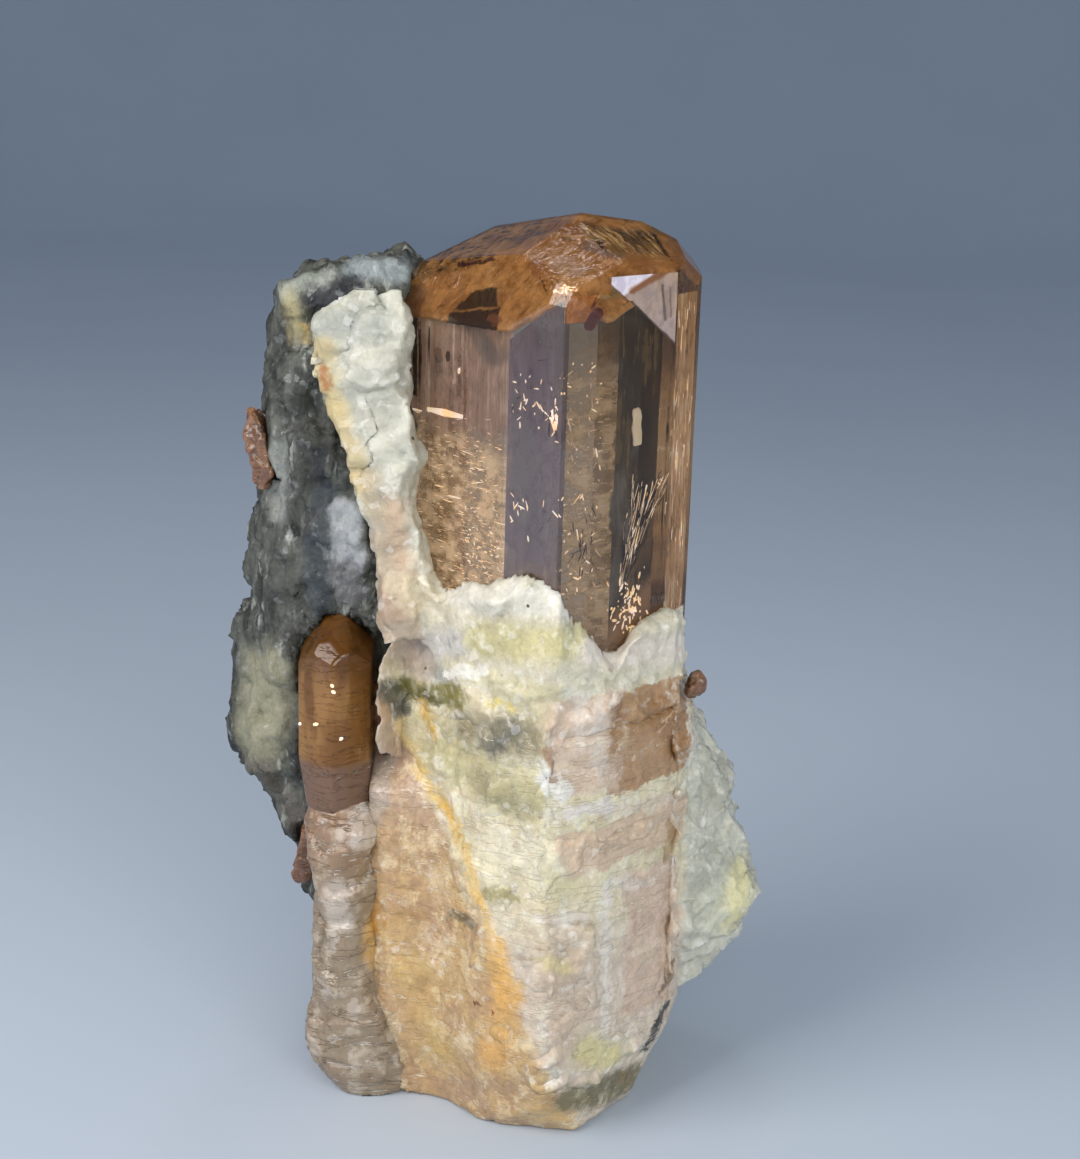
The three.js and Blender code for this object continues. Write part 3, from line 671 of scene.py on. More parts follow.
def white_quartz():
    finish = Finish("white_quartz", Roughness=0.5, IOR=1.54, Subsurface_Weight=0.45,
                    Subsurface_Scale=0.7 * MM, Subsurface_Radius=(1.0, 0.9, 0.75))
    ragged = ragged_place(finish, 1.5, 0.9)
    cloud = finish.noise(finish.place, 0.42, 4.0, 0.6)
    base = finish.laid("b3b2a2", "cccbb9", cloud, 0.4, 0.62)
    across, depth, height = (finish.part(ragged, axis) for axis in range(3))
    on_front = finish.times(finish.span(depth, 0.6, -0.6), finish.span(height, 26.2, 25.2))
    on_front = finish.times(on_front, finish.span(across, 7.2, 6.6))
    base = finish.mix(on_front, base, finish.use(FRONT, {"Place": ragged})["Color"])
    milk = finish.noise(finish.place, 1.3, 5.0, 0.65, 0.4)
    base = finish.laid(base, "b5ad9b", milk, 0.54, 0.72, 0.5)
    base = finish.laid(base, "efece2", milk, 0.46, 0.30, 0.5)
    strokes = [
        ((-6.3, -2.5, 27.6), (-6.0, -2.9, 25.0), 1.0, 0.8, 0.8, "bea283"),
        ((-6.9, -3.0, 26.0), (-6.2, -3.2, 23.6), 1.1, 0.7, 0.8, "b29c83"),
        ((-6.6, -3.4, 23.4), (-5.6, -3.4, 21.0), 1.5, 0.9, 0.75, "a8927b"),
        ((-6.0, -3.0, 24.4), (-5.2, -3.0, 23.8), 0.9, 0.5, 0.5, "d9cba8"),
        ((9.9, -0.6, 10.4), (9.4, -0.8, 8.2), 1.2, 1.0, 0.75, "dcd49c"),
        ((8.6, -1.0, 10.2), (8.4, -1.0, 8.6), 0.9, 0.8, 0.5, "b4b9a5"),
        ((-9.5, -1.6, 34.2), (-9.1, -1.8, 31.6), 0.95, 0.7, 0.75, "c6b27c"),
        ((-9.0, -1.8, 31.6), (-7.8, -2.3, 28.8), 1.0, 0.7, 0.75, "c9b684"),
        ((-8.0, -2.2, 28.8), (-7.0, -2.4, 27.4), 0.7, 0.6, 0.65, "c9b481"),
        ((-9.3, -1.8, 33.4), (-9.2, -1.8, 32.7), 0.42, 0.35, 0.9, "a06a30"),
        # Painted shade: the grey along the top of the quartz band.
        ((-9.3, -1.6, 35.4), (-7.0, -1.6, 35.4), 0.9, 0.7, 0.7, "9b9f96"),
        ((-7.2, -2.6, 28.8), (-6.8, -2.9, 25.2), 0.8, 0.6, 0.75, "aca089"),
    ]
    base = stroked(finish, base, ragged, strokes)
    sugar = finish.pattern(SUGAR, 3.0)
    # Painted glints: grains that glint are painted near white, as well as made glossier below.
    base = finish.mix(finish.times(sugar["Glint"], 0.22), base, "fbfaf5")
    dots = finish.cells(finish.place, 0.85)
    sprinkle = finish.span(finish.noise(finish.place, 0.3, 1.0), 0.50, 0.56)
    base = finish.mix(finish.times(finish.span(dots, 0.10, 0.06), sprinkle), base, "4c4a3c")
    finish.set("Base Color", base)
    finish.set("Roughness", finish.span(sugar["Glint"], 0.0, 1.0, 0.34, 0.08))
    relief = finish.plus(finish.times(sugar["Height"], 0.8), milk)
    finish.relief(relief, 0.09)
    return finish.material


def each_side(board, whole):
    """How dense each side of a thin sheet is, so that both sides together are as dense as the whole."""
    left = board.math("SQRT", board.most(board.minus(1.0, whole), 0.0))
    return board.minus(1.0, left)


def cloud_tone(finish):
    """Cloudy peach with short level dashes: the colour, and how dense the cloud is."""
    flat = finish.stretched(finish.place, (1.0, 1.0, 1.5))
    cloud = finish.noise(flat, 0.9, 6.0, 0.66)
    base = finish.laid("ccb086", "fbeacb", cloud, 0.38, 0.62)
    dashes = finish.noise(finish.stretched(finish.place, (1.0, 1.0, 4.2)), 2.2, 3.0, 0.6)
    base = finish.laid(base, "fff4dc", dashes, 0.59, 0.66)
    base = finish.laid(base, "94683f", dashes, 0.38, 0.30, 0.5)
    dense = finish.most(finish.span(cloud, 0.36, 0.58, 0.50, 0.92), finish.span(dashes, 0.60, 0.66))
    return base, dense


def left_cloud_look():
    """Healed cracks behind the left front face, thinning out upward."""
    finish = Finish("left_cloud_look", Roughness=0.5, IOR=1.0, Emission_Strength=0.12)
    base, dense = cloud_tone(finish)
    across, height = finish.part(finish.place, 0), finish.part(finish.place, 2)
    drift = finish.times(finish.noise(finish.place, 0.6, 5.0, 0.65), 5.0)
    level = finish.plus(finish.plus(height, drift), finish.times(across, 0.3))
    finish.glow(base)
    finish.set("Alpha", each_side(finish, finish.times(dense, finish.span(level, 35.2, 31.6))))
    return finish.material


def middle_cloud_look():
    """Golden cloud behind the narrow middle face, with a wavy right edge."""
    finish = Finish("middle_cloud_look", Roughness=0.5, IOR=1.0, Emission_Strength=0.06)
    base, dense = cloud_tone(finish)
    across, height = finish.part(finish.place, 0), finish.part(finish.place, 2)
    wave = finish.times(finish.noise(finish.stretched(finish.place, (0.2, 0.2, 1.0)), 0.9, 4.0), 1.4)
    right_edge = finish.span(finish.plus(across, wave), 3.62, 3.42)
    ragged = finish.plus(height, finish.times(finish.noise(finish.place, 0.8, 4.0), 4.0))
    upper = finish.span(ragged, 38.4, 34.0, 0.3, 1.0)
    base = finish.mix(0.5, base, "a98c5c")
    base = finish.laid(base, "957b6c", height, 33.5, 35.5, 0.7)
    finish.glow(base)
    finish.set("Alpha", each_side(finish, finish.times(finish.times(dense, right_edge), upper)))
    return finish.material


def streaked_look(name, tones, low, high, dense, fine=2.0, marks=()):
    """Upright streaks in three tones, full between two heights and fading over 1.5 mm past them: smoky
    zones, and on one sheet a painted reflection.
    """
    finish = Finish(name, Roughness=0.35, IOR=1.0, Emission_Strength=0.08)
    dark, middle, pale = tones
    upright = finish.stretched(finish.place, (1.0, 1.0, 0.06))
    streaks = finish.noise(upright, fine, 4.0, 0.7)
    smoke = finish.noise(finish.stretched(finish.place, (1.0, 1.0, 0.5)), 0.7, 5.0, 0.65)
    shade = finish.plus(finish.times(streaks, 0.55), finish.times(smoke, 0.45))
    base = finish.laid(dark, middle, shade, 0.38, 0.50)
    base = finish.laid(base, pale, shade, 0.51, 0.60)
    drift = finish.times(finish.noise(finish.place, 0.8, 5.0, 0.65), 3.0)
    height = finish.plus(finish.part(finish.place, 2), drift)
    fade = finish.times(finish.span(height, low, low + 1.5), finish.span(height, high + 3.0, high + 1.5))
    flat = finish.stretched(ragged_place(finish, 0.25, 2.0), (1.0, 0.0, 1.0))
    base = painted(finish, base, flat, marks)
    finish.glow(base)
    smoky = finish.times(finish.span(smoke, 0.36, 0.52, dense * 0.75, dense), fade)
    finish.set("Alpha", each_side(finish, smoky))
    return finish.material


def corner_paint():
    """Colours mirrored inside the upper right corner: orange with a dark red wedge, olive, lavender."""
    finish = Finish("corner_paint", Roughness=0.3, IOR=1.0, Emission_Strength=0.16)
    flat = finish.stretched(ragged_place(finish, 0.14, 2.4), (1.0, 0.0, 1.0))
    across, height = finish.part(flat, 0), finish.part(flat, 2)
    cloud = finish.noise(finish.place, 1.6, 5.0, 0.65)
    base = finish.laid("66543c", "8a7152", cloud, 0.38, 0.62)
    orange = panel_mask(finish, flat, (0.6, 36.1), (1.45, 38.3), 0.0, 0.58, 0.08)
    base = finish.mix(orange, base, finish.laid("a86f38", "cb9258", cloud, 0.4, 0.6))
    base = painted(finish, base, flat, [((1.66, 36.7), (2.3, 37.9), 0.07, 0.05, 0.7, "5a3413")])
    lavender_line = finish.plus(height, finish.times(across, 0.985))
    lavender = finish.span(lavender_line, 40.02, 40.10)
    base = finish.mix(lavender, base, finish.laid("cdc4d0", "e6dee6", cloud, 0.4, 0.6))
    marks = [
        ((1.9, 36.5), (1.62, 36.05), 0.24, 0.05, 1.0, "5a1710"),
        ((1.82, 36.8), (2.12, 36.35), 0.12, 0.04, 1.0, "6a2414"),
        ((3.3, 36.85), (5.3, 34.9), 0.05, 0.03, 0.8, "463b2c"),
        ((4.55, 37.4), (4.75, 36.0), 0.09, 0.06, 0.7, "6a5c58"),
        ((4.9, 37.3), (5.0, 36.1), 0.06, 0.04, 0.6, "7b6d74"),
        ((5.12, 38.0), (5.16, 35.3), 0.05, 0.04, 0.7, "efe8ee"),
        ((3.35, 37.3), (4.6, 37.9), 0.22, 0.15, 0.85, "a8764a"),
        ((4.6, 37.95), (5.3, 38.1), 0.2, 0.12, 0.85, "b0804f"),
    ]
    base = painted(finish, base, flat, marks)
    on_left = finish.span(across, 2.75, 2.65)
    olive = finish.times(finish.span(height, 36.9, 37.3), 0.9)
    shown = finish.most(finish.most(lavender, olive), finish.times(orange, on_left))
    wedge = stroke_mask(finish, flat, (1.9, 0.0, 36.5), (1.62, 0.0, 36.05), 0.26, 0.05)
    finish.glow(base)
    shown = finish.times(finish.most(shown, wedge), 0.93)
    finish.set("Alpha", each_side(finish, shown))
    return finish.material


# How much a step back counts as a step up, when the sloping top faces are painted from the front.
TOP_FOLD = 0.268


def slanted(board, flat, angle, along, across):
    """The flat place turned in its own plane, then stretched along and across the new direction."""
    sockets = {"Vector": flat, "Angle": math.radians(angle)}
    turned = board.add("VectorRotate", sockets, rotation_type="Y_AXIS")
    return board.stretched(turned.outputs[0], (along, 1.0, across))


def orange_zone():
    """The orange zone under the etched end: feathers on the left, marks on top, furrows on the right. It
    glows faintly as painted light.
    """
    finish = Finish("orange_zone", Roughness=0.5, IOR=1.0, Emission_Strength=0.10)
    ragged = ragged_place(finish, 0.5, 1.3)
    up = finish.plus(finish.part(ragged, 2), finish.times(finish.part(ragged, 1), TOP_FOLD))
    across = finish.part(ragged, 0)
    flat = finish.add("CombineXYZ", {0: across, 2: up}).outputs[0]
    cloud = finish.noise(finish.place, 0.9, 6.0, 0.68)
    base = finish.laid("aa7b41", "e3b277", cloud, 0.36, 0.62)
    feather = finish.noise(slanted(finish, flat, 42, 0.4, 2.4), 1.5, 4.0, 0.65)
    base = finish.laid(base, "6c441c", feather, 0.43, 0.35, 0.75)
    base = finish.laid(base, "f2cf9c", feather, 0.58, 0.66, 0.6)
    # Painted shade: two dark panels on the left sloping face, standing in for dark surroundings seen
    # through it.
    panels = [
        ((-4.3, 34.3), (-1.85, 35.35), 0.2, 0.0, 0.12, "4f3817"),
        ((-4.0, 35.3), (-1.95, 36.25), 1.1, 0.0, 0.12, "56401d"),
    ]
    base = panelled(finish, base, flat, panels)
    base = painted(finish, base, flat, [
        ((-6.2, 35.0), (-5.6, 36.4), 0.6, 0.4, 0.8, "79604f"),
        ((-5.5, 35.3), (-5.3, 36.0), 0.3, 0.25, 0.7, "6d4128"),
        ((-2.2, 34.9), (-1.9, 34.7), 0.25, 0.15, 0.7, "9c6a48"),
        ((-0.25, 36.5), (-0.02, 35.8), 0.05, 0.04, 0.8, "4a3014"),
    ])
    ridge = finish.plus(finish.times(across, 0.268), 38.28)
    above = finish.minus(up, ridge)
    on_left_top = finish.times(finish.span(above, -0.06, 0.08), finish.span(across, 0.5, 0.1))
    left_top = finish.laid("96703f", "d0a465", cloud, 0.38, 0.60)
    level = finish.noise(slanted(finish, flat, 14, 0.8, 3.0), 1.9, 4.0, 0.7)
    left_top = finish.laid(left_top, "3a2210", level, 0.53, 0.57, 0.9)
    left_top = finish.laid(left_top, "d9b588", level, 0.42, 0.36, 0.5)
    base = finish.mix(on_left_top, base, left_top)
    base = painted(finish, base, flat, [
        ((-3.7, 37.48), (-2.2, 37.5), 0.13, 0.08, 0.9, "4a2013"),
        ((-1.4, 38.5), (-0.2, 38.75), 0.3, 0.2, 0.7, "6f5c52"),
        ((0.2, 38.95), (1.3, 38.9), 0.5, 0.3, 0.85, "9e6c40"),
        ((0.5, 38.35), (0.9, 38.3), 0.18, 0.1, 0.8, "5c3d1a"),
        ((-0.4, 37.8), (1.9, 37.7), 0.85, 0.5, 0.85, "c2925f"),
        # Painted sheen: this pale pinkish patch and the mauve-grey one after it.
        ((0.5, 37.0), (1.0, 36.7), 0.6, 0.4, 0.85, "cdb09f"),
        ((1.6, 38.0), (2.7, 37.6), 0.5, 0.35, 0.8, "8f7c72"),
        ((-0.7, 37.0), (-0.2, 36.6), 0.4, 0.3, 0.7, "b07a4c"),
    ])
    on_right_top = panel_mask(finish, flat, (2.1, 37.5), (4.85, 39.3), -0.75, -0.1, 0.4)
    furrow = finish.noise(slanted(finish, flat, -48, 0.22, 2.6), 2.3, 3.0, 0.6)
    right_top = finish.laid("54401f", "a98756", furrow, 0.42, 0.49)
    # Painted highlights: the pale lines along the furrows.
    right_top = finish.laid(right_top, "f6dfb2", furrow, 0.54, 0.58)
    base = finish.mix(on_right_top, base, right_top)
    base = painted(finish, base, flat, [
        ((4.25, 38.9), (4.85, 37.75), 0.09, 0.05, 0.95, "2b1f13"),
        ((5.2, 38.4), (5.9, 37.6), 0.6, 0.3, 0.85, "a97f55"),
        ((3.1, 37.4), (5.4, 37.5), 0.2, 0.12, 0.85, "bb8856"),
    ])
    finish.glow(base)
    finish.relief(finish.plus(feather, level), 0.2)
    return finish.material


def pale_flecks():
    """Healed cracks inside the clear crystal, peach and cloudy."""
    finish = Finish("pale_flecks", Roughness=0.3, IOR=1.45)
    tint = finish.noise(finish.place, 1.5, 2.0)
    finish.set("Base Color", finish.mix(tint, "f6d9b0", "fff2df"))
    return finish.material


def sealed_grain():
    # The grain glows faintly: painted light.
    finish = Finish("sealed_grain", Roughness=0.3, IOR=1.45, Emission_Strength=0.22)
    tint = finish.mix(finish.noise(finish.place, 1.5, 3.0), "d9c8a4", "f6ecd4")
    finish.glow(tint)
    return finish.material


def bright_flecks():
    """Open cracks inside the clear crystal; their white and gold flash is painted as a glow."""
    finish = Finish("bright_flecks", Roughness=0.2, Emission_Strength=0.55)
    tint = finish.noise(finish.place, 1.7, 2.0)
    flash = finish.laid("ffdfae", "fff3e6", tint, 0.4, 0.6)
    finish.glow(flash)
    return finish.material


def dark_flecks():
    finish = Finish("dark_flecks", Roughness=0.2, IOR=1.45, Specular_IOR_Level=0.1)
    tint = finish.noise(finish.place, 1.7, 2.0)
    finish.set("Base Color", finish.mix(tint, "2a0f0c", "4a2a18"))
    return finish.material


def floor_paper():
    """Plain pale paper."""
    finish = Finish("floor_paper", Roughness=0.9)
    fibre = finish.noise(finish.place, 0.02, 2.0)
    finish.set("Base Color", finish.mix(fibre, "b4bec9", "bcc6d0"))
    return finish.material


# ------------------------------------------------------------------ making and dressing pieces

MERGE_DISTANCE = 0.002


def node_copy(name):
    """A node's shape with its loose triangles merged."""
    body = bmesh.new()
    body.from_mesh(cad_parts[name].data)
    bmesh.ops.remove_doubles(body, verts=body.verts, dist=MERGE_DISTANCE * MM)
    return body


def face_outward(body):
    bmesh.ops.recalc_face_normals(body, faces=body.faces)


def cut_off(body, spot, way, outer=True, closed=True):
    """Cuts a shape at a plane, drops what lies past it (or before it), and closes the cut."""
    cut = bmesh.ops.bisect_plane(body, geom=body.verts[:] + body.edges[:] + body.faces[:], plane_co=spot,
                                 plane_no=way, clear_outer=outer, clear_inner=not outer)
    if closed:
        rim = [item for item in cut["geom_cut"] if isinstance(item, bmesh.types.BMEdge)]
        bmesh.ops.holes_fill(body, edges=rim)
        face_outward(body)


def flattened(body, degrees):
    """Merges faces that are all but flat to each other."""
    angle = math.radians(degrees)
    bmesh.ops.dissolve_limit(body, angle_limit=angle, verts=body.verts, edges=body.edges)


def worn(body, edges, width):
    """Rounds off edges as wear does, over a width in millimetres."""
    bmesh.ops.bevel(body, geom=edges, offset=width * MM, segments=2, profile=0.5, affect="EDGES",
                    material=-1, clamp_overlap=True)


def evened(body, rounds):
    """Draws every vertex toward its neighbours, a number of times."""
    for _ in range(rounds):
        bmesh.ops.smooth_vert(body, verts=body.verts, factor=0.5,
                              use_axis_x=True, use_axis_y=True, use_axis_z=True)


def as_object(name, body):
    mesh = bpy.data.meshes.new(name)
    body.to_mesh(mesh)
    body.free()
    piece = bpy.data.objects.new(name, mesh)
    bpy.context.scene.collection.objects.link(piece)
    return piece


def even_net(piece, voxel):
    """Remakes a closed shape as an even net of small faces and applies it."""
    remesh = piece.modifiers.new("even_net", "REMESH")
    remesh.mode = "VOXEL"
    remesh.voxel_size = voxel * MM
    graph = bpy.context.evaluated_depsgraph_get()
    made = bpy.data.meshes.new_from_object(piece.evaluated_get(graph))
    piece.modifiers.clear()
    piece.data = made


def soften(piece, rounds):
    """Rounds off the corners of an even net."""
    body = bmesh.new()
    body.from_mesh(piece.data)
    evened(body, rounds)
    body.to_mesh(piece.data)
    body.free()
    piece.data.shade_smooth()


def move_skin(piece, push):
    """Moves each vertex by what push gives for its place and normal, and keeps it above the floor."""
    mesh = piece.data
    normals = [vertex.normal.copy() for vertex in mesh.vertices]
    for vertex, normal in zip(mesh.vertices, normals):
        place = local(vertex.co)
        vertex.co = vertex.co + push(place, normal) * MM
        vertex.co.z = max(vertex.co.z, 0.0)
    mesh.shade_smooth()


def dress(piece, slot, *materials):
    piece.data.materials.clear()
    for material in materials:
        piece.data.materials.append(material)
    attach(piece, BODY)


def swell(body, inner, outer):
    """Moves each vertex out along its normal: by inner where it faces the main crystal, else by outer."""
    body.normal_update()
    for vertex in body.verts:
        away = local(vertex.co)
        away.z = 0
        share = ease(vertex.normal.dot(away.normalized()), -0.3, 0.3)
        vertex.co += vertex.normal * (inner + (outer - inner) * share) * MM


FLAKE_SIDES = 6
FLAKE_THICKNESS = 0.025


def thin_flake(body, place, turn, length, width):
    """Adds a flat closed flake with a few sides."""
    size = Matrix.Diagonal((length / 2 * MM, width / 2 * MM, FLAKE_THICKNESS * MM, 1))
    where = Matrix.Translation(at(*place)) @ turn.to_4x4() @ size
    bmesh.ops.create_cone(body, cap_ends=True, segments=FLAKE_SIDES, radius1=1.0, radius2=0.85,
                          depth=1.0, matrix=where)


# ------------------------------------------------------------------ the main crystal

# The corners of the main crystal's front, from left to right.
FRONT_CORNERS = [(-6.8, 0.28), (-1.63, -5.19), (0.66, -6.40), (2.54, -5.41), (5.36, -2.43), (6.4, -0.78)]
CLEAR_FROM = 18.0
FROST_TOP = 20.2
ROOT_REACH = 22.0
SKIN_RISE = 0.56
GROOVE_FILL = 2.3


def clear_hull():
    """The clear upper part of the main crystal, with flat faces."""
    body = node_copy("main_topaz_crystal")
    cut_off(body, at(0, 0, CLEAR_FROM), UP, outer=False, closed=False)
    bmesh.ops.delete(body, geom=body.edges[:] + body.faces[:], context="EDGES_FACES")
    hull = bmesh.ops.convex_hull(body, input=body.verts)
    inside = list(set(hull["geom_interior"] + hull["geom_unused"]))
    bmesh.ops.delete(body, geom=inside, context="VERTS")
    flattened(body, degrees=1.2)
    face_outward(body)
    return body


def main_crystal():
    """The clear upper part, with one small corner face and finely worn edges."""
    body = clear_hull()
    cut_off(body, at(*CORNER_SPOT), Vector(CORNER_WAY).normalized())
    edges = [edge for edge in body.edges if edge.calc_face_angle(0) > math.radians(5)]
    worn(body, edges, width=0.07)
    face_outward(body)
    piece = as_object("main_crystal_clear", body)
    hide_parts("main_topaz_crystal")
    dress(piece, "clear_topaz", clear_topaz())


def tuck(place):
    """Draws in the right corner at the base, which slopes in toward the bottom."""
    limit = 4.7 + 0.38 * place.z
    beyond = max(place.x - limit, 0.0) * ease(5.2 - place.z, 0.0, 0.6)
    return Vector((-0.9 * beyond, 0, 0))


def main_foot():
    """The cloudy lower part: its skin stands just proud of the clear faces, then dips inside them."""
    body = node_copy("main_topaz_crystal")
    cut_off(body, at(0, 0, ROOT_REACH), UP)
    piece = as_object("main_crystal_foot", body)
    even_net(piece, voxel=0.18)

    def push(place, normal):
        frost_line = FROST_TOP + 1.4 * lumps(Vector((place.x, place.y, 0)), 1.7, 3, 9)
        inside = ease(place.z, frost_line - 0.25, frost_line + 0.25)
        skin = 0.05 + 0.05 * lumps(place, 0.7, 3, 2) + 0.14 * facets(place, 1.6, 4)
        raised = ease(-place.y, -2.4, -0.8) * ease(place.z, 1.0, 4.0) * ease(19.4 - place.z, 0.0, 0.8)
        skin += SKIN_RISE * raised
        inset = 0.35 + 0.25 * lumps(place, 0.8, 3, 7)
        fill = ease(-place.x, 3.2, 6.9) * ease(-normal.y, 0.0, 0.5) * ease(16.2 - place.z, 0.0, 1.5)
        forward = Vector((0, -GROOVE_FILL * fill, 0))
        return normal * ((1 - inside) * skin - inside * inset) + tuck(place) + forward

    move_skin(piece, push)
    dress(piece, "clear_topaz", frosted_topaz())


def front_face(across):
    """The front at a place across: its depth, the face's direction to the right, and its normal."""
    for (x0, y0), (x1, y1) in zip(FRONT_CORNERS, FRONT_CORNERS[1:]):
        if across <= x1:
            break
    along = Vector((x1 - x0, y1 - y0, 0)).normalized()
    share = (across - x0) / (x1 - x0)
    return y0 + (y1 - y0) * share, along, Vector((along.y, -along.x, 0))


def behind_front(across, depth, height):
    """A place that lies depth behind the front face, and the face's direction and normal there."""
    front, along, out = front_face(across)
    return Vector((across, front, height)) - out * depth, along, out


SHEET_STEP = 0.3
SHEET_THICKNESS = 0.02


def veil(name, left, right, low, high, depth, material, crumple=0.12, slope=0.0):
    """A thin crumpled sheet behind a front face, cut to a slope at its top. Its material thins it out."""
    start, along, out = behind_front(left, depth, low)
    wide = (right - left) / along.x
    tall = high - low
    body = bmesh.new()
    turn = Matrix((along, UP, out)).transposed().to_4x4()
    middle = start + along * wide / 2 + UP * tall / 2
    where = Matrix.Translation(at(*middle)) @ turn @ Matrix.Diagonal((wide / 2, tall / 2, 1, 1))
    columns, rows = int(wide / SHEET_STEP), int(tall / SHEET_STEP)
    bmesh.ops.create_grid(body, x_segments=columns, y_segments=rows, size=MM, matrix=where)
    for vertex in body.verts:
        place = local(vertex.co)
        vertex.co += out * crumple * (lumps(place, 0.9, 3, 3) + 1.4 * facets(place, 0.8, 6)) * MM
    if slope:
        cut_off(body, at(right, 0, high), (-slope, 0, 1), closed=False)
    face_outward(body)
    bmesh.ops.solidify(body, geom=body.faces[:], thickness=SHEET_THICKNESS * MM)
    face_outward(body)
    piece = as_object(name, body)
    dress(piece, "clear_topaz", material)


def veils():
    """Cloudy and smoky zones that run just behind the front faces, and sheets of painted reflection behind
    the face left of the middle and in the upper right corner. All of them glow faintly as painted light.
    """
    left_marks = [
        ((-6.1, 35.5), (-5.6, 32.4), 0.20, 0.06, 1.0, "24140e"),
        ((-6.5, 34.0), (-6.1, 32.6), 0.18, 0.1, 0.8, "35231a"),
        ((-5.15, 35.3), (-5.1, 33.6), 0.06, 0.05, 0.8, "3f2c22"),
        ((-4.3, 34.2), (-4.25, 33.9), 0.24, 0.12, 0.7, "6a4c3a"),
        ((-4.7, 35.4), (-4.65, 32.6), 0.05, 0.04, 0.7, "efe0d6"),
        ((-3.6, 35.4), (-3.55, 33.0), 0.06, 0.04, 0.8, "efe0d6"),
        ((-3.3, 35.4), (-3.25, 32.4), 0.04, 0.04, 0.7, "4a362a"),
        ((-3.05, 35.4), (-3.0, 33.4), 0.05, 0.04, 0.7, "e2d2ca"),
        ((-5.35, 35.4), (-5.3, 32.2), 0.13, 0.06, 0.95, "2b1b14"),
        ((-2.8, 35.5), (-1.9, 34.4), 0.6, 0.4, 0.7, "80787a"),
    ]
    smoky = streaked_look("smoky_look", ("8a6e5e", "b79f90", "d8c6b8"), 31.6, 35.4, 0.94, 3.0, left_marks)
    right_marks = [
        ((2.7, 22.6), (4.9, 24.6), 1.0, 0.8, 0.85, "b08f6e"),
        ((4.7, 33.5), (4.9, 26.5), 0.16, 0.12, 0.6, "8e7450"),
        ((3.0, 30.5), (3.1, 27.5), 0.3, 0.25, 0.5, "6e5c3a"),
        ((3.5, 25.6), (4.9, 28.0), 0.7, 0.7, 0.6, "8f7450"),
    ]
    olive = streaked_look("olive_look", ("33260f", "4a3b22", "776844"), 22.6, 38.0, 0.95, 1.4, right_marks)
    edge = streaked_look("edge_look", ("8a6a40", "e0b880", "fff0d0"), 20.0, 38.0, 0.8, 3.5)
    # Painted reflection: a dark lavender-grey sheet that stands in for what the face left of the middle
    # mirrors.
    shade = streaked_look("face_shade_look", ("5e555a", "6c6368", "7c7377"), 21.0, 38.0, 1.0, 1.0)
    low = streaked_look("low_veil_look", ("75604a", "a58c6e", "d9c4a0"), 19.0, 25.2, 0.6)
    veil("left_cloud", -6.5, -1.9, 21.6, 33.4, 1.0, left_cloud_look(), 0.22)
    veil("left_streaks", -6.4, -1.75, 29.6, 35.6, 0.75, smoky, 0.04)
    veil("middle_cloud", 0.72, 3.05, 21.6, 36.4, 0.7, middle_cloud_look(), 0.14)
    veil("edge_cloud", 5.5, 6.34, 21.8, 37.0, 0.35, edge, 0.05)
    veil("smoke", 2.55, 5.1, 21.6, 37.0, 1.0, olive, 0.05)
    # The sheet of painted reflection behind the face left of the middle.
    veil("face_shade", -1.6, 0.64, 22.0, 37.12, 0.34, shade, 0.02, 0.884)
    veil("low_veil", -1.45, 0.6, 22.0, 27.5, 0.22, low, 0.05)
    # Painted reflections in the upper right corner.
    corner = corner_paint()
    veil("corner_middle", 0.74, 2.5, 35.5, 37.2, 0.16, corner, 0.02)
    veil("corner_right", 2.6, 5.34, 34.6, 37.9, 0.16, corner, 0.0)


CAP_MIDDLE = 32.0       # the height toward which the skin under the etched end is drawn in
CAP_INSET = 0.955
CAP_THICKNESS = 0.3


def cap_zone():
    """A thin coloured skin that lies just inside the faces of the etched end."""
    body = clear_hull()
    side = [face for face in body.faces if face.normal.z < 0.2]
    bmesh.ops.delete(body, geom=side, context="FACES")
    middle = at(0, 0, CAP_MIDDLE)
    bmesh.ops.scale(body, vec=[CAP_INSET] * 3, space=Matrix.Translation(-middle), verts=body.verts)
    bmesh.ops.solidify(body, geom=body.faces[:], thickness=CAP_THICKNESS * MM)
    face_outward(body)
    piece = as_object("orange_cap_zone", body)
    even_net(piece, voxel=0.11)

    def push(place, normal):
        return normal * (0.05 * lumps(place, 1.2, 3, 4) + 0.08 * facets(place, 0.9, 5))

    move_skin(piece, push)
    dress(piece, "clear_topaz", orange_zone())


def shard(body, middle, along, facing, length, width):
    """Adds a thin flake with pointed ends, laid along one direction and facing another."""
    side = facing.cross(along).normalized()
    facing = along.cross(side).normalized()
    turn = Matrix((along.normalized(), side, facing)).transposed()
    thin_flake(body, middle, turn, length, width)


TO_VIEWER = Vector((0, -0.966, 0.259))


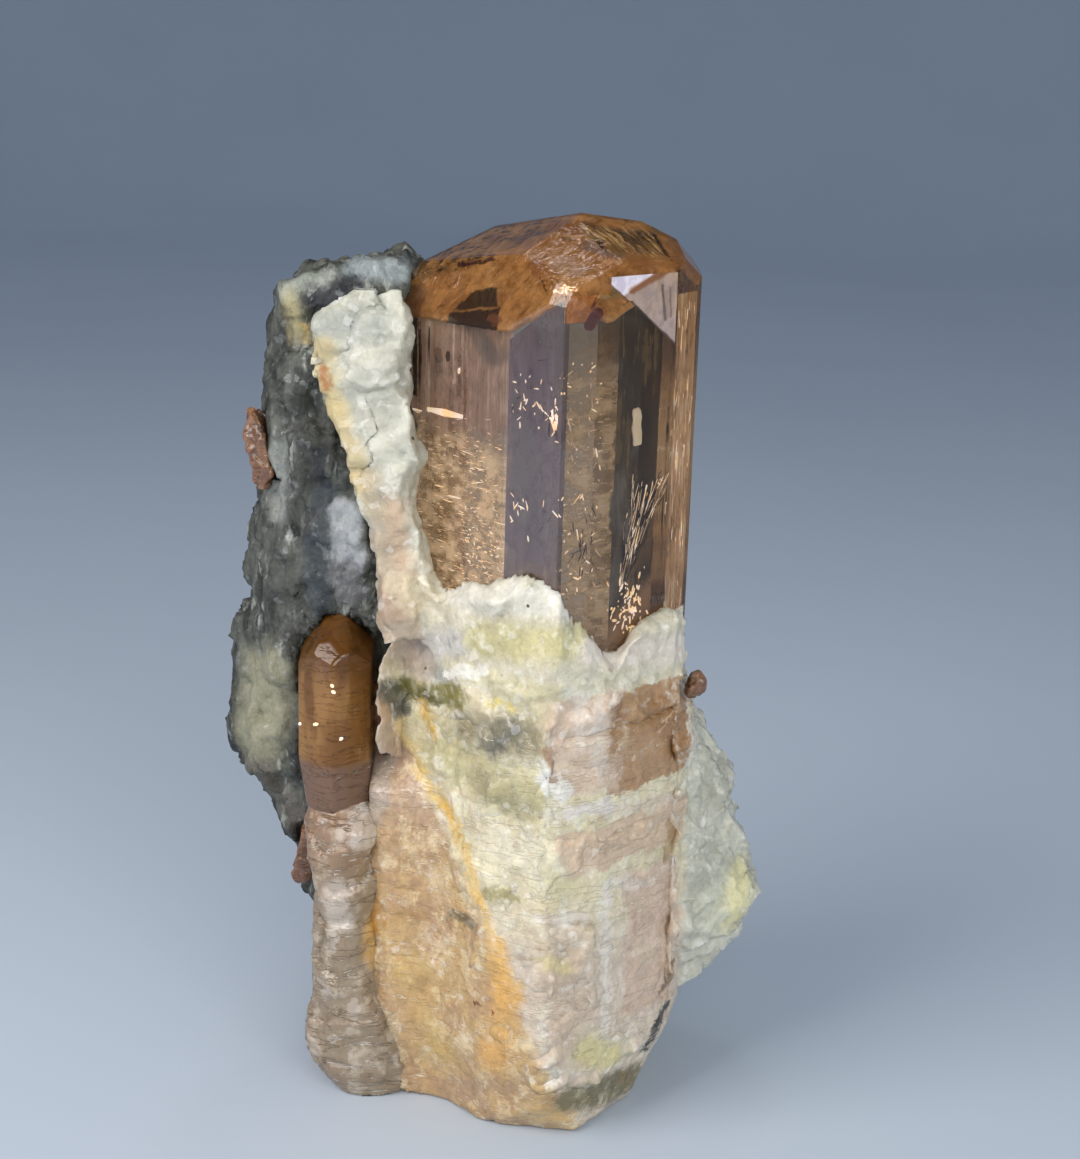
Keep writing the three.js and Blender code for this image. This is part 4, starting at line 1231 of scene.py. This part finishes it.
def flecks_in_crystal():
    """Small cracks and flakes sealed in the clear crystal, most of them near the front."""
    chance = random.Random(41)
    between, near = chance.uniform, chance.gauss
    pale, bright, dark = bmesh.new(), bmesh.new(), bmesh.new()

    def shake(amount):
        return Vector((near(0, amount), near(0, amount), near(0, amount)))

    def flake(body, across, depth, height, level, upright, sway, tilt, length, width):
        """Adds a flake along a mix of level and upright, shaken by sway. It faces out, shaken by tilt."""
        middle, along, _ = behind_front(across, depth, height)
        way = along * level + UP * upright + shake(sway)
        shard(body, middle, way, TO_VIEWER + shake(tilt), between(*length), between(*width))

    for step in range(320):
        height = 23.5 + 8.3 * chance.random() ** 1.1
        middle, along, _ = behind_front(between(-6.3, -1.8), between(0.25, 0.95), height)
        target = bright if step % 3 else pale
        shard(target, middle, along + shake(0.12), TO_VIEWER + shake(0.3), 0.08 + chance.expovariate(4.5),
              between(0.012, 0.045))
    for step in range(60):
        flake(bright, between(-3.4, -1.7), between(0.2, 0.8), near(26.0, 1.0), 1, 0, 0.7, 0.4,
              (0.08, 0.3), (0.03, 0.1))
    for step in range(110):
        height = 24.5 + 10.0 * chance.random()
        middle = behind_front(between(0.75, 2.5), between(0.2, 0.7), height)[0]
        target = bright if step % 2 else pale
        shard(target, middle, UP + shake(0.6), TO_VIEWER + shake(0.4), 0.06 + chance.expovariate(6),
              between(0.03, 0.09))
    for step in range(170):
        rise = between(0.1, 1.0) * 4.6
        lean = between(0.05, 0.62)
        target = (bright, dark, pale, dark)[step % 4]
        across = min(3.5 + rise * lean * 0.7, 6.2)
        flake(target, across, between(0.1, 0.9), 24.6 + rise, lean, 1, 0.1, 0.4, (0.2, 1.6), (0.02, 0.07))
    # Painted glints: a cluster of glowing flakes low in the right front face.
    for step in range(80):
        flake(bright, near(3.9, 0.35), between(0.1, 0.6), near(24.2, 0.6), 0, 1, 0.7, 0.2,
              (0.1, 0.45), (0.05, 0.14))
    for step in range(120):
        flake(bright if step % 2 else pale, between(5.45, 6.3), between(0.08, 0.5), between(22.5, 36.5),
              0, 1, 0.06, 0.4, (0.2, 1.4), (0.02, 0.05))
    for step in range(64):
        high = chance.choice((33.4, 32.4, 28.3))
        flake(bright if step % 4 else dark, between(-1.4, 0.5), between(0.12, 0.28), near(high, 0.45),
              0, 1, 0.7, 0.3, (0.10, 0.48), (0.03, 0.09))
    for step in range(12):
        flake(dark if step % 2 else bright, between(0.0, 0.5), between(0.12, 0.28), near(32.4, 0.5),
              0, 1, 0.25, 0.3, (0.3, 0.9), (0.06, 0.14))
    for across, height, length, width in (
            (-4.4, 31.7, 2.7, 0.34), (-5.7, 31.55, 0.9, 0.12), (-3.9, 28.2, 0.9, 0.09),
            (-4.6, 28.5, 0.6, 0.08), (-3.8, 33.6, 0.22, 0.32)):
        middle, along, _ = behind_front(across, 0.5, height)
        shard(bright, middle, along, TO_VIEWER, length, width)
    for across, height, length, width in (
            (-6.05, 33.9, 3.2, 0.24), (-5.55, 33.8, 2.8, 0.15), (-6.35, 34.3, 1.8, 0.10),
            (-5.15, 34.4, 1.9, 0.06), (-4.3, 34.1, 0.5, 0.3)):
        middle = behind_front(across, 0.5, height)[0]
        shard(dark, middle, UP, TO_VIEWER, length, width)
    # Painted highlight: glowing flakes that make the bright spot where the two middle front faces meet the
    # etched end.
    for step in range(26):
        flake(bright, near(0.6, 0.25), between(0.5, 0.9), near(37.2, 0.1), 0, 1, 0.9, 0.2,
              (0.12, 0.45), (0.06, 0.2))
    for step in range(26):
        flake(dark, between(1.2, 2.3), between(0.15, 0.5), near(27.0, 0.8), 0, 1, 0.35, 0.3,
              (0.2, 0.8), (0.02, 0.06))
    dress(as_object("pale_flecks", pale), "clear_topaz", pale_flecks())
    dress(as_object("bright_flecks", bright), "clear_topaz", bright_flecks())
    dress(as_object("dark_flecks", dark), "clear_topaz", dark_flecks())
    # Painted glints: a few glowing flakes on the face of the side crystal.
    glint = bmesh.new()
    for place in ((-10.35, -2.25, 17.7), (-9.55, -3.1, 18.0), (-8.8, -3.45, 19.9), (-8.75, -3.4, 19.6),
                  (-8.45, -3.2, 17.4)):
        shard(glint, Vector(place), Vector((1, -0.5, 0)) + shake(0.2), TO_VIEWER, 0.28, 0.16)
    dress(as_object("side_crystal_glints", glint), "orange_topaz", bright_flecks())


GRAIN_SPOT = (3.95, 0.45, 31.65)    # across, depth behind the face, and height
GRAIN_SIZE = (0.52, 1.6, 0.25)


def pale_inclusion():
    """A small rounded pale grain sealed behind the right front face."""
    middle, along, out = behind_front(*GRAIN_SPOT)
    body = bmesh.new()
    turn = Matrix((along, out.cross(along), out)).transposed().to_4x4()
    lean = Matrix.Rotation(math.radians(5), 4, "Z")
    size = Matrix.Diagonal([side * MM for side in GRAIN_SIZE] + [1])
    bmesh.ops.create_cube(body, size=1.0, matrix=Matrix.Translation(at(*middle)) @ turn @ lean @ size)
    bmesh.ops.subdivide_edges(body, edges=body.edges[:], cuts=7, use_grid_fill=True)
    evened(body, rounds=4)
    for vertex in body.verts:
        vertex.co += noise.noise_vector(local(vertex.co) * 2.4) * 0.08 * MM
    piece = as_object("pale_inclusion", body)
    piece.data.shade_smooth()
    dress(piece, "clear_topaz", sealed_grain())


# ------------------------------------------------------------------ the side crystal

SIDE_CLEAR_FROM = 15.9
SIDE_ROOT = 2.0     # how far the clear top of the side crystal reaches down into its foot


def side_crystal():
    """The clear orange top of the small crystal."""
    body = node_copy("side_topaz_crystal")
    flattened(body, degrees=0.4)
    cut_off(body, at(0, 0, SIDE_CLEAR_FROM - SIDE_ROOT), UP, outer=False)
    piece = as_object("side_crystal_clear", body)
    even_net(piece, voxel=0.10)
    soften(piece, rounds=10)
    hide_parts("side_topaz_crystal")
    dress(piece, "orange_topaz", orange_topaz())


def side_foot():
    body = node_copy("side_topaz_crystal")
    cut_off(body, at(0, 0, SIDE_CLEAR_FROM), UP)
    swell(body, inner=0.42, outer=0.12)
    piece = as_object("side_crystal_foot", body)
    even_net(piece, voxel=0.11)
    soften(piece, rounds=12)

    def push(place, normal):
        low = ease(6.5 - place.z, 0.0, 4.5)
        sunk = ease(place.z, 12.8, 14.6)
        right = (0.1 + 1.2 * low) * ease(normal.x, 0.1, 0.8) - 0.3 * low * ease(-normal.x, 0.1, 0.8)
        shift = Vector((right, -0.1, 0))
        relief = 0.14 + 0.12 * lumps(place, 1.3, 3, 8) + 0.38 * facets(place, 2.1, 2)
        grain = 0.10 * facets(place, 0.9, 9)
        return shift * (1 - sunk) + normal * ((relief + grain) * (1 - sunk) - 0.45 * sunk)

    move_skin(piece, push)
    dress(piece, "orange_topaz", frosted_side_topaz())


# ------------------------------------------------------------------ the rocks

def quartz_body():
    body = node_copy("white_quartz")
    swell(body, inner=0.42, outer=-0.42)
    piece = as_object("quartz_body", body)
    even_net(piece, voxel=0.16)

    def push(place, normal):
        shake = noise.turbulence_vector(place / 1.1, 3, False, noise_basis="PERLIN_ORIGINAL") * 0.30
        crust = ease(7.6 - Vector((place.x, place.y)).length, 0.0, 0.8) * ease(-place.y, -0.5, 1.0)
        crust = max(crust, 0.8 * ease(-place.x, 4.8, 5.8) * ease(-place.y, -0.6, 0.4))
        band = ease(place.z, 26.5, 28.5) * ease(-place.y, 0.2, 1.0) * ease(-place.x, 6.0, 7.0)
        wider = Vector((-0.8 * band * ease(-normal.x, -0.2, 0.5), 0, 0))
        beside = ease(-place.x, 5.7, 6.6) * ease(place.z, 14.6, 16.2) * ease(22.2 - place.z, 0.0, 0.8)
        beside *= ease(-place.y, 0.0, 0.8)
        wider += Vector((-0.35, -1.9, 0)) * beside
        rim = min(max(24.0 - 0.55 * place.x, 22.7), 25.0)
        higher = 1.9 * ease(place.x, -2.2, 0.0) * ease(3.4 - place.x, 0.0, 2.4)
        higher += 0.8 * ease(place.x, 3.2, 4.2)
        wider += Vector((0, 0, higher * ease(place.z, rim - 2.2, rim - 0.3) * ease(-place.y, 0.0, 1.0)))
        relief = 0.16 * lumps(place, 1.8, 3, 1) + (0.34 - 0.22 * crust) * facets(place, 1.5, 3)
        relief += (0.16 - 0.09 * crust) * facets(place, 0.7, 5) + 0.04 * lumps(place, 0.3, 2, 6)
        return shake * (1 - 0.55 * crust) + normal * relief + tuck(place) + wider

    move_skin(piece, push)
    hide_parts("white_quartz")
    dress(piece, "white_quartz", white_quartz())


def schist_body():
    body = node_copy("grey_schist")
    swell(body, inner=0.35, outer=0.12)
    piece = as_object("schist_body", body)
    even_net(piece, voxel=0.17)

    def push(place, normal):
        leaf = Vector((place.x * 1.6, place.y * 1.6, place.z * 0.55))
        relief = 0.24 * lumps(leaf, 1.3, 4, 1) + 0.42 * facets(leaf, 1.7, 2) + 0.16 * facets(place, 0.7, 4)
        shake = noise.turbulence_vector(place / 1.2, 2, False, noise_basis="PERLIN_ORIGINAL") * 0.2
        return shake + normal * relief

    move_skin(piece, push)
    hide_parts("grey_schist")
    dress(piece, "grey_schist", grey_schist())


def blades():
    finish = red_brown_topaz()

    def push(place, normal):
        return normal * (0.30 * facets(place, 1.1, 3) + 0.10 * lumps(place, 0.6, 3, 5))

    for name in ("left_topaz_blade", "lower_left_topaz_blade", "right_topaz_chip"):
        body = node_copy(name)
        flattened(body, degrees=0.4)
        worn(body, body.edges[:], width=0.05)
        piece = as_object(name + "_worn", body)
        even_net(piece, voxel=0.06)
        soften(piece, rounds=6)
        move_skin(piece, push)
        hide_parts(name)
        dress(piece, "red_brown_topaz", finish)


def stage():
    """A round floor that curves up into a rim far from the specimen."""
    body = bmesh.new()
    drop = -FLOOR_DROP * MM
    start = body.verts.new(Vector((AXIS.x, AXIS.y, drop)))
    line = [start]
    line.append(body.verts.new(at(FLOOR_FLAT * 0.5, 0, -FLOOR_DROP)))
    for step in range(13):
        angle = math.radians(90 * step / 12)
        out = FLOOR_FLAT + FLOOR_RIM * math.sin(angle)
        line.append(body.verts.new(at(out, 0, -FLOOR_DROP + FLOOR_RIM * (1 - math.cos(angle)))))
    line.append(body.verts.new(at(FLOOR_FLAT + FLOOR_RIM, 0, RIM_HEIGHT)))
    edges = [body.edges.new(pair) for pair in zip(line, line[1:])]
    bmesh.ops.spin(body, geom=line + edges, cent=AXIS, axis=UP, angle=math.tau, steps=64, use_merge=True)
    bmesh.ops.remove_doubles(body, verts=body.verts, dist=0.01 * MM)
    face_outward(body)
    floor = as_object("floor_sweep", body)
    floor.data.shade_smooth()
    floor.data.materials.append(floor_paper())


set_camera()
set_world()
soft_box("key_box", (-110, -80, 120), (0, 0, 22), 100, 100, 0.20, (1.0, 0.96, 0.92))
soft_box("front_box", (50, -165, 90), (0, 0, 18), 120, 90, 0.17, (1.0, 0.98, 0.95))
soft_box("fill_box", (130, -110, 60), (0, 0, 20), 110, 90, 0.06, (0.94, 0.95, 1.0))
soft_box("face_box", (-58, -39, 34), (0, -4, 26), 46, 70, 0.009, (0.86, 0.80, 1.0))
soft_box("top_box", (-3, 62, 158), (0, 0, 36), 22, 16, 0.010, (1.0, 0.95, 0.92))
stage()
main_crystal()
main_foot()
cap_zone()
veils()
flecks_in_crystal()
pale_inclusion()
side_crystal()
side_foot()
quartz_body()
schist_body()
blades()
